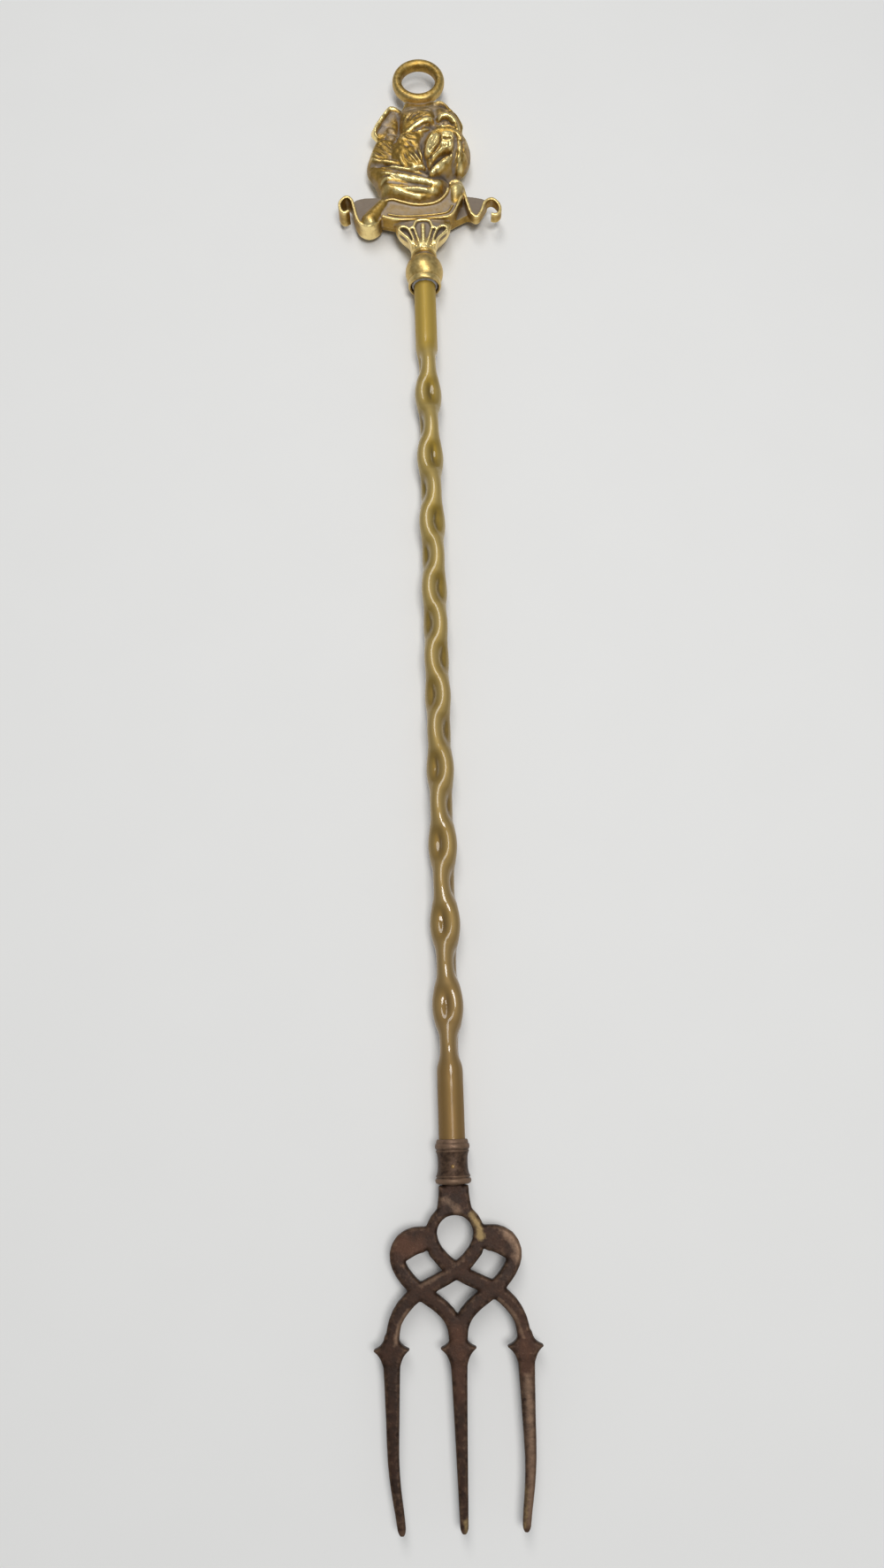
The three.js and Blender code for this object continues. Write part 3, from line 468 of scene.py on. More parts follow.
# Fine lines, alike in half width and depth: wrinkles of the face and neck, and hairs of the ruff
WRINKLE_WIDTH = 0.4
WRINKLE_DEPTH = 0.5
WRINKLE_TAPER = 0.15
WRINKLES = [
    [(-6.9, 7.2), (-6.6, 9.4), (-5.2, 11.8)], [(-5.2, 8), (-4.2, 10.2), (-2.2, 12.2)],
    [(-3.6, 8.6), (-2.2, 10.6), (0.2, 12.2)], [(-2, 8.6), (-0.4, 10.2), (2.2, 11.4)],
    [(-0.2, 9.4), (1.6, 10.2), (4, 10.4)], [(-6, 12.8), (-3.2, 14.4), (0.4, 14.8)],
    [(0.8, 13.2), (2.8, 13.4), (4.6, 12.8)], [(-3.6, 5.8), (-1.2, 7.6), (1.4, 9)],
    [(8.6, 10.6), (10.4, 11.2), (12.4, 10.4)], [(8.2, 12.6), (10.2, 13.4), (12.4, 12.6)],
    [(7.8, 14.6), (9.4, 15.2), (11, 14.8)], [(9.6, 8), (11.2, 7.8), (12.8, 6.8)],
    [(-16.8, -0.6), (-14.4, -3), (-11.4, -5.6)], [(-18.4, -3.4), (-15.8, -5.6), (-13.2, -7)],
    [(-14.6, 0.6), (-12.4, -1.8), (-10, -4.2)], [(-12.6, 0), (-11, -1.8), (-9.4, -3.4)],
    [(-19, -6), (-17, -7.2), (-15, -7.8)], [(-6.2, -1), (-4.6, -2.2), (-3, -3.6)],
    [(5.8, -0.4), (4.6, -2.6), (3.6, -5.6)], [(6.6, -2.6), (5.2, -5), (3.4, -8.4)],
    [(-15.6, -12.8), (-11, -13.9), (-7, -15.2)], [(-9, -17.2), (-4, -18.9), (0, -19.9)],
    [(-0.4, -16.6), (3, -17.9), (6.4, -18.4)], [(-3.8, 3.8), (-0.6, 4.6), (1.8, 6)],
    [(-3.4, 3.2), (0.4, 3.8)], [(7.6, 7.2), (9.8, 8.2), (12.2, 7.4)],
    [(-4.2, -6), (-2.6, -8.8), (-0.9, -11.4)], [(-2.4, -4.6), (-1.2, -7.4), (0, -9.8)],
    [(-6.2, -6), (-5.6, -8.6), (-3.6, -11.2)], [(4.8, -1.8), (3.4, -4.2), (2.6, -7)],
    [(6.8, -4.4), (5, -6.8), (3, -9.4)], [(7.4, -6.6), (5.6, -8.4), (4, -10)], [(9, -6.4), (9.4, -7.8)],
    [(11, -6), (10.8, -7.8)], [(14.2, -11.4), (15.6, -9), (16.4, -7)],
    [(-17.6, -15.2), (-13, -15.4), (-9.4, -16.6)], [(-12, -19.6), (-7, -20.4), (-3, -20.8)],
    [(-8, -21.6), (-3, -22.8), (3, -23.6)], [(-7, 1.6), (-4.8, 2.4), (-2.4, 2)],
    [(-6.4, -3.2), (-4.4, -4.6)],
]

# Eyes: place and level, with one radius
EYES = [(1.5, 4.4, 5.1), (10, 6.2, 5.7)]
EYE_RADIUS = 1.1
EYE_BLEND = 0.2

# Unevenness of the casting: height, and fineness of its pattern
CAST_LUMPS = (0.2, 0.55)
CAST_GRAIN = (0.07, 2.1)

# Where the head is greyed by dirt in its hollows, and by painted shade on the forehead: path, half width,
# strength.
STAINS_AND_SHADE = {
    "ear": ([(-9, 14), (-12.2, 11), (-15, 6.4)], 1.9, 0.75),
    "ear_lobe": ([(-11.4, 6), (-10.6, 2)], 1.8, 0.55),
    "brow_valley": ([(6.2, 9.6), (5.4, 6.4), (4, 4), (2.3, 1.4), (1, -1.4), (0.4, -4.6)], 1.3, 0.65),
    "right_eye": ([(8, 6), (10.4, 6.4), (13, 5.2)], 1.1, 0.5),
    "left_eye": ([(-1.4, 4.4), (2, 5.2), (5, 5.4)], 0.9, 0.45),
    "right_groove": ([(13.3, -0.6), (13.2, -4.3), (12.6, -8.4), (12, -12.4)], 0.9, 0.7),
    "right_cheek": ([(16.4, -1), (17.4, -5)], 1.2, 0.4),
    "mouth": ([(10, -8), (7.6, -10), (4.4, -13.4)], 0.7, 0.7),
    "jowl_groove": ([(1, -7.4), (1.4, -11), (2.4, -14.4)], 0.8, 0.6),
    "throat": ([(-19, -8.8), (-14.6, -10.2)], 0.7, 0.7),
    "under_chin": ([(0, -15), (5.4, -16.4)], 0.8, 0.6),
    "neck": ([(-12, -18.2), (-5, -19.6), (1, -20.6)], 1.0, 0.5),
    "chest": ([(12.4, -14.6), (10.4, -17.6), (9, -21.4)], 1.7, 0.6),
    "hem": ([(-14, -24), (-6, -25.8), (2, -26), (7.4, -23.6)], 1.5, 0.65),
    "ruff": ([(-16.4, -2), (-12, -5.6)], 1.8, 0.3),
    "crown": ([(-5, 21.6), (0, 20.4), (5, 21.6)], 1.3, 0.6),
    # The forehead's grey is painted shade
    "forehead": ([(-5, 14.4), (1, 15.6), (8, 15)], 3.4, 0.5),
}
# Painted shade on the low side walls of the head: strength, and the levels over which it comes in
SIDE_SHADE = 0.5
SIDE_LEVELS = (0.6, -1.0)

# Where painted shade darkens the forehead and the hair of the ruff: path, half width, strength
HEAD_SHADE = {
    "forehead": ([(-6, 9), (-2, 11.4), (3.4, 12.4)], 2.6, 0.32),
    "ruff": ([(-16, -2.6), (-11.6, -6)], 2.0, 0.18),
}

# Where the head is bright, with polish by hands and cloths and with painted highlights, as on the flew and
# the neck roll: path, half width, strength
POLISH_AND_HIGHLIGHTS = {
    "flew": ([(2.2, -8.8), (4, -5.8), (6, -2.6)], 1.9, 1.1),
    "lip": ([(8.4, -6.2), (10, -7), (11.4, -6.6)], 1.3, 0.9),
    "nose": ([(8.6, -2.4), (11.8, -2.4)], 1.2, 0.6),
    "neck": ([(-11, -16), (-4, -17.8), (2, -19), (6, -19.4)], 1.2, 0.95),
    "ear_rim": ([(-8, 15), (-11.5, 16), (-12.7, 14.7), (-15, 10.9), (-17.6, 6.4), (-17.3, 4.6)], 1.2, 0.9),
    "left_brow": ([(-4.2, 3.8), (-1.5, 5.6), (1.5, 7.5), (4.1, 8), (5.6, 7)], 0.8, 0.7),
    "right_brow": ([(7.2, 8.6), (9, 9.6), (11, 9.2), (13, 7)], 0.8, 0.6),
    "left_lid": ([(0.6, 3.2), (3.2, 4.2)], 0.45, 0.6),
    "right_lid": ([(7.4, 4.9), (9.2, 4.4)], 0.6, 0.6),
    "right_fold": ([(14, 0), (14.8, -3.2), (14.8, -6.6)], 0.7, 0.6),
    "right_jowl": ([(14.6, -9.4), (15.2, -11.8)], 0.9, 0.7),
    "jowl_hem": ([(-3, -13.1), (1.8, -13)], 0.7, 0.7),
    "mouth_edge": ([(9, -8.4), (6.4, -10.6), (4.4, -12.4)], 0.7, 0.9),
    "chin": ([(3.8, -16.4), (5.4, -15)], 1.1, 0.9),
    "lower_lip": ([(11, -10.6), (8.4, -12.4), (5.8, -14.8)], 1.2, 0.5),
    "throat_line": ([(-11, -11.6), (-6, -13), (0, -14.8)], 0.55, 0.6),
    "middle_line": ([(-5, -21.2), (0, -22.2), (5.4, -22.4)], 0.8, 0.8),
    "low_line": ([(-10, -21.5), (-5, -23), (-1, -24.2)], 0.8, 0.7),
    "neck_hook": ([(-15, -17.6), (-13, -16.6), (-11, -16.5)], 0.6, 0.6),
    "ruff": ([(-15.9, -1.4), (-13.6, -3.6), (-11.2, -6)], 0.5, 0.5),
}


def wrinkle(points):
    """A smooth path through places, with a share of full depth that fades out at both ends."""
    path = smooth_path(points)
    return np.column_stack([path, np.sin(np.linspace(WRINKLE_TAPER, math.pi - WRINKLE_TAPER, len(path)))])


def pad_level(outline, low, top, edge, x, y):
    rim = smooth_path(outline, 5, closed=True)
    loop = np.column_stack([np.vstack([rim, rim[:1]]), np.zeros(len(rim) + 1)])
    away, _ = nearest_on(loop, x, y)
    deep = np.clip(away / edge, 0, 1)
    dome = low + (top - low) * np.sqrt(1 - (1 - deep) ** 2)
    return np.where(inside(rim, x, y), dome, low - PAD_SLOPE * away)


def roll_level(path, radius, x, y):
    away, crest = nearest_on(smooth_path(path), x, y)
    round_part = np.sqrt(np.maximum(radius**2 - away**2, 0)) - radius
    return crest + np.where(away < radius, round_part, -radius - ROLL_SLOPE * (away - radius))


def head_level(x, y, share):
    """The front of the head, at places a share of the way out from its middle to its outline."""
    brink = HEAD_RIM - EDGE_DROP * ramp(y, *EDGE_DROP_ALONG)
    level = brink + (HEAD_BASE - brink) * (1 - share**DOME_POWER)
    for pad in HEAD_PADS.values():
        level = soft_max(level, pad_level(*pad, x, y), PAD_BLEND)
    for roll in HEAD_ROLLS.values():
        level = soft_max(level, roll_level(*roll, x, y), ROLL_BLEND)
    for path, half_width, depth in HEAD_CUTS.values():
        level = level - depth * bell(away_from(path, x, y), half_width)
    for points in WRINKLES:
        away, fade = nearest_on(wrinkle(points), x, y)
        level = level - fade * WRINKLE_DEPTH * bell(away, WRINKLE_WIDTH)
    for eye_x, eye_y, top in EYES:
        away = np.hypot(x - eye_x, y - eye_y)
        ball = top - away**2 / (2 * EYE_RADIUS)
        level = np.where(away < EYE_RADIUS, soft_max(level, ball, EYE_BLEND), level)
    places = [Vector((px, py, 0)) for px, py in zip(x, y)]
    for height, fineness in (CAST_LUMPS, CAST_GRAIN):
        level = level + height * np.array([noise.noise(place * fineness) for place in places])
    steepness = EDGE_STEEPNESS + (NECK_STEEPNESS - EDGE_STEEPNESS) * ramp(y, *NECK_ALONG)
    rim = np.clip((1 - share) * steepness, 0, 1)
    return brink + (level - brink) * rim * (2 - rim)


def head_blank():
    """A square block with a fine grid on its face, which lies at 0, and its back at -1."""
    bm = bmesh.new()
    bmesh.ops.create_grid(bm, x_segments=HEAD_GRID, y_segments=HEAD_GRID, size=1)
    wall = bmesh.ops.extrude_edge_only(bm, edges=open_edges(bm))["geom"]
    bmesh.ops.translate(bm, verts=verts_in(wall), vec=(0, 0, -1))
    bmesh.ops.holes_fill(bm, edges=open_edges(bm), sides=0)
    bmesh.ops.recalc_face_normals(bm, faces=bm.faces)
    return plain_mesh("dog_head", bm)


def drawn_to_outline(u, v):
    """Where places of a square lie when it is drawn out to the head's outline, and how far out."""
    disc_x = u * np.sqrt(1 - v**2 / 2)
    disc_y = v * np.sqrt(1 - u**2 / 2)
    share = np.hypot(disc_x, disc_y)
    angle = np.arctan2(disc_y, disc_x)
    edge = smooth_path(HEAD_OUTLINE, 12, closed=True)
    edge_angle = np.unwrap(np.arctan2(edge[:, 1], edge[:, 0]))
    reach = np.interp(angle, edge_angle, np.hypot(edge[:, 0], edge[:, 1]), period=2 * math.pi)
    return share * reach * np.cos(angle), share * reach * np.sin(angle), share


def dog_head():
    mesh = head_blank()
    blank = read_vectors(mesh, "co")
    x, y, share = drawn_to_outline(blank[:, 0], blank[:, 1])
    back = blank[:, 2] < -0.5
    ear = ramp(x, *EAR_ACROSS) * ramp(y, *EAR_ALONG)
    z = np.where(back, HEAD_BACK + EAR_LIFT * ear, head_level(x, y, share))
    draft = np.where(back, BACK_DRAFT, 1)
    down = np.where(y < 0, draft, 1)
    set_points(mesh, (np.column_stack([draft * x, down * y + HEAD_CENTRE, z]) + FORK_ORIGIN) * MM)
    crisp = read_vectors(mesh, "co")
    keep = back | (share > EDGE_SHARE)
    set_points(mesh, np.where(keep[:, None], crisp, relax(mesh, crisp, HEAD_SOFTENING)))
    mark_wear_and_shading(mesh, "dog_head")
    # Painted shade darkens the low side walls and the forehead along with the dirt, and painted highlights
    # brighten the flew and the neck roll along with the polish
    sides = SIDE_SHADE * ramp(z, *SIDE_LEVELS) * ~back
    dirt_and_shade = np.maximum(spread_over(STAINS_AND_SHADE, x, y), sides)
    polish_and_light = spread_over(POLISH_AND_HIGHLIGHTS, x, y)
    mark(mesh, "hollow", dirt_and_shade - polish_and_light)
    mark(mesh, "ridge", polish_and_light - dirt_and_shade)
    mark(mesh, "crevice", spread_over(HEAD_SHADE, x, y) * ~back)
    link_piece("dog_head", mesh, "dog_head_finial", "cast_brass")


# Scroll and calyx: the lower half of the casting, in the fork's own axes

SCROLL_BACK = HEAD_BACK
SCROLL_GROUND = -1.0
RIBBON_FRONT = 2.6
RIBBON_THICKNESS = 1.15
PANEL_BACK = -1.6
PANEL_FRONT = 2.9
PANEL_RIM = 3.8
RIM_WIDTH = 0.95
PANEL_LINE_WIDTH = 0.6
PANEL_LINE_FRONT = PANEL_FRONT + 0.7
SKIN_VOXEL = 0.24
SKIN_SOFTENING = 5

GROUND = [
    (-26.4, 41), (-22, 43.2), (-14, 43), (-6, 42), (6, 44), (12, 43), (19, 42.6), (24.8, 40.4),
    (22.8, 35.4), (20.4, 33.2), (17, 34), (13, 32), (8, 30), (-8, 30), (-14.6, 31.4), (-17.2, 30.6),
    (-20.2, 28.6), (-23.2, 29.6), (-25.2, 34.4),
]
PANEL_TOP = [
    (-14.6, 37.4), (-11.4, 38.4), (-7.6, 37.2), (-2.6, 35.8), (2.9, 36), (6.6, 37.4), (9.2, 40.4), (10, 43),
]
PANEL_FOOT = [
    (-15.2, 31), (-13.2, 30.2), (-9.6, 29.3), (-4.1, 29.1), (1.8, 29.4), (8.4, 29.9), (11.4, 31.4),
    (13.2, 35), (15, 39.4),
]
PANEL_LINE = [(-13, 31.9), (-9.4, 31), (-4, 30.7), (1.8, 31), (7.6, 31.6), (10, 32.8), (11.4, 35.4)]
LEFT_CURL = [
    (-27.6, 35), (-29.4, 33.9), (-30.8, 35.4), (-31, 38.6), (-28.8, 41), (-26.7, 39.8), (-25.6, 35.4),
    (-24.6, 31.2), (-22.8, 28.6), (-20.2, 27.6), (-17.4, 28.8), (-15.6, 31.2),
]
RIGHT_CURL = [
    (10.6, 45.6), (11.8, 47), (13.8, 47), (15.4, 44.4), (16.2, 41), (17.2, 36.4), (18.4, 32.4),
    (20.4, 30.8), (22.3, 33.4), (23.8, 37.2), (26.4, 38.6), (28.8, 36.2), (29.2, 33), (27.6, 31.4),
    (25.8, 31.8),
]

# Rounded folds of the ribbon: start and radius there, end and radius there, with a foot under each
LEFT_FOLD = ((-14.8, 37.2, 1.7), 2.3, (-19.8, 30.4, 1.0), 3.4)
RIGHT_FOLD = ((13, 43.4, 0.6), 3.3, (12.6, 37.6, 1.4), 2.4)
FOLD_FOOT = 1.6

# The calyx widens to a fan, and is flat in front and behind from halfway up
CALYX_OUTLINE = [
    (4.6, 15.7), (4.7, 17.2), (5.3, 19.2), (6.4, 20.6), (7.9, 22), (9, 23.2), (9.7, 24.6), (10.2, 26),
    (10.9, 29.4),
]
CALYX_TOP = CALYX_OUTLINE[-1][1]
CALYX_FACE = 3.3
CALYX_FLAT_FROM = 0.55
NEAR_AXIS = 0.01
CALYX_RIBS_FRONT = 4.5
CALYX_RIBS = [
    ([(0, 16.6), (0, 21), (0, 26.6)], 1.35),
    ([(1.2, 16.8), (2.3, 21), (3.5, 25.4)], 0.9),
    ([(3.2, 16.8), (3.9, 20.6), (5.2, 24)], 0.9),
    ([
        (3.5, 25.4), (4.6, 24.6), (5.2, 24), (6.2, 25), (7.8, 25.4), (9, 24.2), (8.1, 22.6), (5.4, 19.8),
        (4.2, 17.2),
    ], 0.95),
]
CALYX_BAR = [(-3.4, 25.6), (-2.4, 27.7), (0, 28.2), (2.4, 27.7), (3.4, 25.6)]

# Dirt and painted shade on the scroll: how squarely a floor faces forwards, the levels of the ground, and the
# panel's own level
FACING_FORWARD = (0.6, 0.9)
GROUND_LEVELS = (0.4, -0.4)
# Painted shade that darkens the sunk ground
GROUND_SHADE = 0.5
PANEL_DIRT = 0.45
PANEL_EVENNESS = 0.3

# Polish and painted highlight on the calyx and the right fold, and dirt and painted shade on the floors of
# the leaves between the ribs
CALYX_SHINE = 0.72
CALYX_FADE = (CALYX_TOP, CALYX_TOP - 2)
FOLD_SHINE = 0.9
FOLD_SHINE_WIDTH = 3
FOLD_SHINE_LENGTH = 4
LEAF_FOOT = (19.0, 21.0)
LEAF_SIDES = (9.4, 7.8)
LEAF_FRONT = 2
LEAF_FLOOR = (CALYX_RIBS_FRONT - 0.5, CALYX_RIBS_FRONT - 1)
LEAF_DIRT = 0.75
LEAF_SHADE = 0.4


def raised(outline, low, high):
    """A flat outline raised from one level to another."""
    bm = bmesh.new()
    face = bm.faces.new([bm.verts.new((x, y, low)) for x, y in outline])
    top = bmesh.ops.extrude_face_region(bm, geom=[face])["geom"]
    bmesh.ops.translate(bm, verts=verts_in(top), vec=(0, 0, high - low))
    return bm


def band(points, width, low, high):
    """A strip of even width along a smooth path, raised from one level to another."""
    path = smooth_path(points, 5)
    run = np.gradient(path, axis=0)
    run /= np.linalg.norm(run, axis=1)[:, None]
    across = np.column_stack([-run[:, 1], run[:, 0]]) * width / 2
    return raised(np.vstack([path + across, (path - across)[::-1]]), low, high)


def fold(start, start_radius, end, end_radius):
    """A round fold that widens from one end to the other."""
    bm = bmesh.new()
    for place, radius in ((start, start_radius), (end, end_radius)):
        bmesh.ops.create_icosphere(bm, subdivisions=3, radius=radius, matrix=Matrix.Translation(place))
    hull = bmesh.ops.convex_hull(bm, input=bm.verts)
    bmesh.ops.delete(bm, geom=list(set(hull["geom_interior"] + hull["geom_unused"])), context="VERTS")
    return bm


def calyx_body():
    """The fan: a turned cup, flattened towards its top and cut flat behind."""
    curve = smooth_path(CALYX_OUTLINE, 4)
    foot_radius, foot = curve[0]
    bm = turned([(NEAR_AXIS, foot), *curve, (NEAR_AXIS, CALYX_TOP)])
    for vert in bm.verts:
        width = np.interp(vert.co.y, curve[:, 1], curve[:, 0])
        flat = smooth_step((vert.co.y - foot) / (CALYX_TOP - foot), 0, CALYX_FLAT_FROM)
        deep = CALYX_FACE if vert.co.z > 0 else -SCROLL_BACK
        vert.co.z *= (foot_radius + (deep - foot_radius) * flat) / width
    return bm


def darken_floors(mesh):
    """Grey dirt on the sunk floors of the scroll, which face forwards: the ground, and the panel less so. The
    ground is also darkened with painted shade.
    """
    _, y, z = fork_points(mesh).T
    forward = ramp(read_vectors(mesh, "normal")[:, 2], *FACING_FORWARD)
    ground = ramp(z, *GROUND_LEVELS)
    panel = PANEL_DIRT * (np.abs(z - PANEL_FRONT) < PANEL_EVENNESS) * (y > CALYX_TOP)
    mark(mesh, "hollow", forward * np.maximum(ground, panel))
    mark(mesh, "crevice", GROUND_SHADE * forward * ground)


def polish_and_light_calyx(mesh):
    """The calyx and the right fold of the ribbon are bright with polish from hands and with painted
    highlight, and dirt and painted shade lie between the ribs.
    """
    x, y, z = fork_points(mesh).T
    calyx = ramp(y, *CALYX_FADE)
    fold_x, fold_y, _ = RIGHT_FOLD[0]
    handled_and_shining = bell(x - fold_x, FOLD_SHINE_WIDTH) * bell(y - fold_y, FOLD_SHINE_LENGTH) * (z > 0)
    leaves = calyx * ramp(y, *LEAF_FOOT) * ramp(np.abs(x), *LEAF_SIDES)
    floor = leaves * ramp(z, *LEAF_FLOOR) * (z > LEAF_FRONT)
    mark(mesh, "ridge", np.maximum(CALYX_SHINE * calyx, FOLD_SHINE * handled_and_shining) - floor)
    mark(mesh, "hollow", LEAF_DIRT * floor)
    mark(mesh, "crevice", LEAF_SHADE * floor)


def scroll_and_calyx():
    panel = np.vstack([smooth_path(PANEL_TOP, 4), smooth_path(PANEL_FOOT, 4)[::-1]])
    parts = [
        raised(smooth_path(GROUND, 4, closed=True), SCROLL_BACK, SCROLL_GROUND),
        raised(panel, PANEL_BACK, PANEL_FRONT),
        band(PANEL_TOP, RIM_WIDTH, PANEL_BACK, PANEL_RIM),
        band(PANEL_FOOT, RIM_WIDTH, PANEL_BACK, PANEL_RIM),
        band(PANEL_LINE, PANEL_LINE_WIDTH, PANEL_BACK, PANEL_LINE_FRONT),
        band(LEFT_CURL, RIBBON_THICKNESS, SCROLL_BACK, RIBBON_FRONT),
        band(RIGHT_CURL, RIBBON_THICKNESS, PANEL_BACK, RIBBON_FRONT),
        calyx_body(),
        band(CALYX_BAR, RIM_WIDTH, 0, CALYX_RIBS_FRONT),
    ]
    for start, start_radius, end, end_radius in (LEFT_FOLD, RIGHT_FOLD):
        parts.append(fold(start, start_radius, end, end_radius))
        parts.append(band([start[:2], end[:2]], FOLD_FOOT * start_radius, SCROLL_BACK, start[2]))
    for path, width in CALYX_RIBS:
        for side in (1, -1):
            parts.append(band([(side * x, y) for x, y in path], width, 0, CALYX_RIBS_FRONT))
    mesh = fuse("scroll_and_calyx", parts, SKIN_VOXEL, SKIN_SOFTENING)
    mark_wear_and_shading(mesh, "scroll_and_calyx")
    darken_floors(mesh)
    polish_and_light_calyx(mesh)
    link_piece("scroll_and_calyx", mesh, "dog_head_finial", "cast_brass")


# Hanging ring

RING_INNER = 13.0
RING_SQUARENESS = 2.3
RING_SIDES = 32
RING_STEPS = 128


def hanging_ring():
    low, high = node_box("hanging_ring")
    outer = (high.x - low.x) / 2
    inner = RING_INNER / 2
    bm = bmesh.new()
    section = bmesh.ops.create_circle(bm, segments=RING_SIDES, radius=1)["verts"]
    for vert in section:
        for axis in (0, 1):
            vert.co[axis] = math.copysign(abs(vert.co[axis]) ** (2 / RING_SQUARENESS), vert.co[axis])
    bmesh.ops.scale(bm, verts=section, vec=((outer - inner) / 2, (high.z - low.z) / 2, 1))
    bmesh.ops.rotate(bm, verts=section, cent=(0, 0, 0), matrix=Matrix.Rotation(math.pi / 2, 3, "X"))
    bmesh.ops.translate(bm, verts=section, vec=((outer + inner) / 2, 0, 0))
    spin_round(bm, (0, 0, 1), RING_STEPS)
    bmesh.ops.recalc_face_normals(bm, faces=bm.faces)
    bmesh.ops.translate(bm, verts=bm.verts, vec=(low + high) / 2)
    mesh = to_mesh("hanging_ring", bm)
    # Its negative polish is painted shade that darkens the ring
    mark_wear_and_shading(mesh, "hanging_ring")
    link_piece("hanging_ring", mesh, "hanging_ring", "cast_brass")


# Ball, with its collar and stepped lip, and the solder in its mouth

STEM_RADIUS = 3.95
FIT = 0.3
BALL_MIDDLE = (0, 8.0)
LIP = 6.05
MOUTH_DEPTH = 2.4
SPIGOT_BORE = 3.3
STEM_STOP = 7.9
SOLDER_WIDTH = 0.6
SOLDER_GAP = 0.12
SOLDER_LUMPS = 0.18
SOLDER_FINENESS = 0.9


def arc(centre, radius, start, end, steps):
    angles = np.radians(np.linspace(start, end, steps))
    return [(centre[0] + radius * math.cos(a), centre[1] + radius * math.sin(a)) for a in angles]


def ball_knop():
    low, high = node_box("ball_knop")
    radius = (high.x - low.x) / 2
    mouth = STEM_RADIUS + SOLDER_WIDTH + 2 * FIT
    bore = STEM_RADIUS + FIT
    lip = [
        (mouth, low.y + MOUTH_DEPTH), (mouth, low.y + 0.3),
        *arc((mouth + 0.3, low.y + 0.3), 0.3, 180, 260, 4),
        *arc((LIP - 0.6, low.y + 0.6), 0.6, -85, 0, 6),
        *arc((LIP - 0.5, low.y + 1.9), 0.5, 0, 75, 5), (5.68, 4.1),
    ]
    ball = arc(BALL_MIDDLE, radius, -32, 62, 30)
    collar = [(4.25, 14.45), *arc((4.4, 14.95), 0.4, -80, 80, 7), (4.2, high.y)]
    socket = [(SPIGOT_BORE, high.y), (SPIGOT_BORE, STEM_STOP), (bore, STEM_STOP), (bore, low.y + MOUTH_DEPTH)]
    mesh = to_mesh("ball_knop", turned(lip + ball + collar + socket, 96))
    # Its polish all over is a painted highlight that brightens the ball
    mark_wear_and_shading(mesh, "ball_knop")
    link_piece("ball_knop", mesh, "ball_knop", "cast_brass")


def socket_solder():
    low, high = node_box("socket_solder")
    inner = STEM_RADIUS + SOLDER_GAP
    outer = (high.x - low.x) / 2
    profile = [
        (inner, high.y), (inner, low.y - 0.2), (inner + 0.25, low.y - 0.1),
        (outer - 0.1, low.y + 0.25), (outer, low.y + 0.6), (outer, high.y),
    ]
    bm = turned(smooth_path(profile, 3), 72)
    for vert in bm.verts:
        vert.co.y += SOLDER_LUMPS * noise.noise(vert.co * SOLDER_FINENESS)
    link_piece("socket_solder", to_mesh("socket_solder", bm), "socket_solder", "solder")


# Stem: a tube with pairs of dimples, each pair a quarter turn round from the last

CRIMP_COUNT = 20
CRIMP_STEP = 12.74
CRIMP_START = 31.5
CRIMP_FADE = 0.8
CRIMP_SHRINK = 0.25
CRIMP_SQUASH = 1.2
CRIMP_HOLLOW = 0.45
CRIMP_SPREAD = 0.42
CRIMP_TURN_TOP = 78.0
CRIMP_TURN_BOTTOM = 5.0
STEM_STATIONS = 700
STEM_SIDES = 72


def crimped_radius(angle, depth):
    place = (depth - CRIMP_START) / CRIMP_STEP
    last = CRIMP_COUNT - 1
    beat = np.cos(np.pi * place) * smooth_step(place, -CRIMP_FADE, 0)
    beat *= 1 - smooth_step(place, last, last + CRIMP_FADE)
    turn = CRIMP_TURN_TOP + (CRIMP_TURN_BOTTOM - CRIMP_TURN_TOP) * np.clip(place / last, 0, 1)
    facing = angle - np.radians(90 + turn)
    from_dimple = np.arcsin(np.sin(np.where(beat > 0, facing, facing + np.pi / 2)))
    hollow = CRIMP_HOLLOW * beat**2 * bell(from_dimple, CRIMP_SPREAD)
    return STEM_RADIUS - CRIMP_SHRINK * np.abs(beat) - CRIMP_SQUASH * beat * np.cos(2 * facing) - hollow


def stem_tube():
    low, high = node_box("stem_tube")
    bm = bmesh.new()
    ends = [bm.verts.new((STEM_RADIUS, along, 0)) for along in (low.y, high.y)]
    bmesh.ops.subdivide_edges(bm, edges=[bm.edges.new(ends)], cuts=STEM_STATIONS - 1)
    spin_round(bm, (0, 1, 0), STEM_SIDES)
    bmesh.ops.holes_fill(bm, edges=open_edges(bm), sides=0)
    for vert in bm.verts:
        angle = math.atan2(vert.co.z, vert.co.x)
        radius = crimped_radius(angle, -vert.co.y)
        vert.co.x = radius * math.cos(angle)
        vert.co.z = radius * math.sin(angle)
    mesh = to_mesh("stem_tube", bm)
    mark_wear_and_shading(mesh, "stem_tube")
    link_piece("stem_tube", mesh, "stem_tube", "tube_brass")


# Ferrule, pin and fork

FERRULE_OUTLINE = [
    (4.5, 0), (4.62, -0.12), (4.86, -0.9), (4.8, -1.12), (5.06, -1.3), (5.18, -1.7), (5.2, -2.1),
    (5.14, -2.5), (5, -2.84), (4.72, -3.02), (4.96, -3.2), (5, -3.4), (4.86, -3.7), (4.66, -4.3),
    (4.5, -5.2), (4.45, -6.4), (4.47, -7.6), (4.58, -8.8), (4.78, -9.7), (5.06, -10.3), (5.16, -10.5),
    (5.14, -10.75), (4.86, -10.95), (5.14, -11.1), (5.34, -11.4), (5.4, -11.75), (5.36, -12.1),
    (5.2, -12.45), (4.8, -12.7), (4.5, -12.8),
]
FERRULE_SOCKET = 3.4
FERRULE_FIT = 0.15
TANG_HOLE = 3.15
PIN_ROUND = 0.3
PLATE = 4.0
FORK_VOXEL = 0.26
FORK_SOFTENING = 12

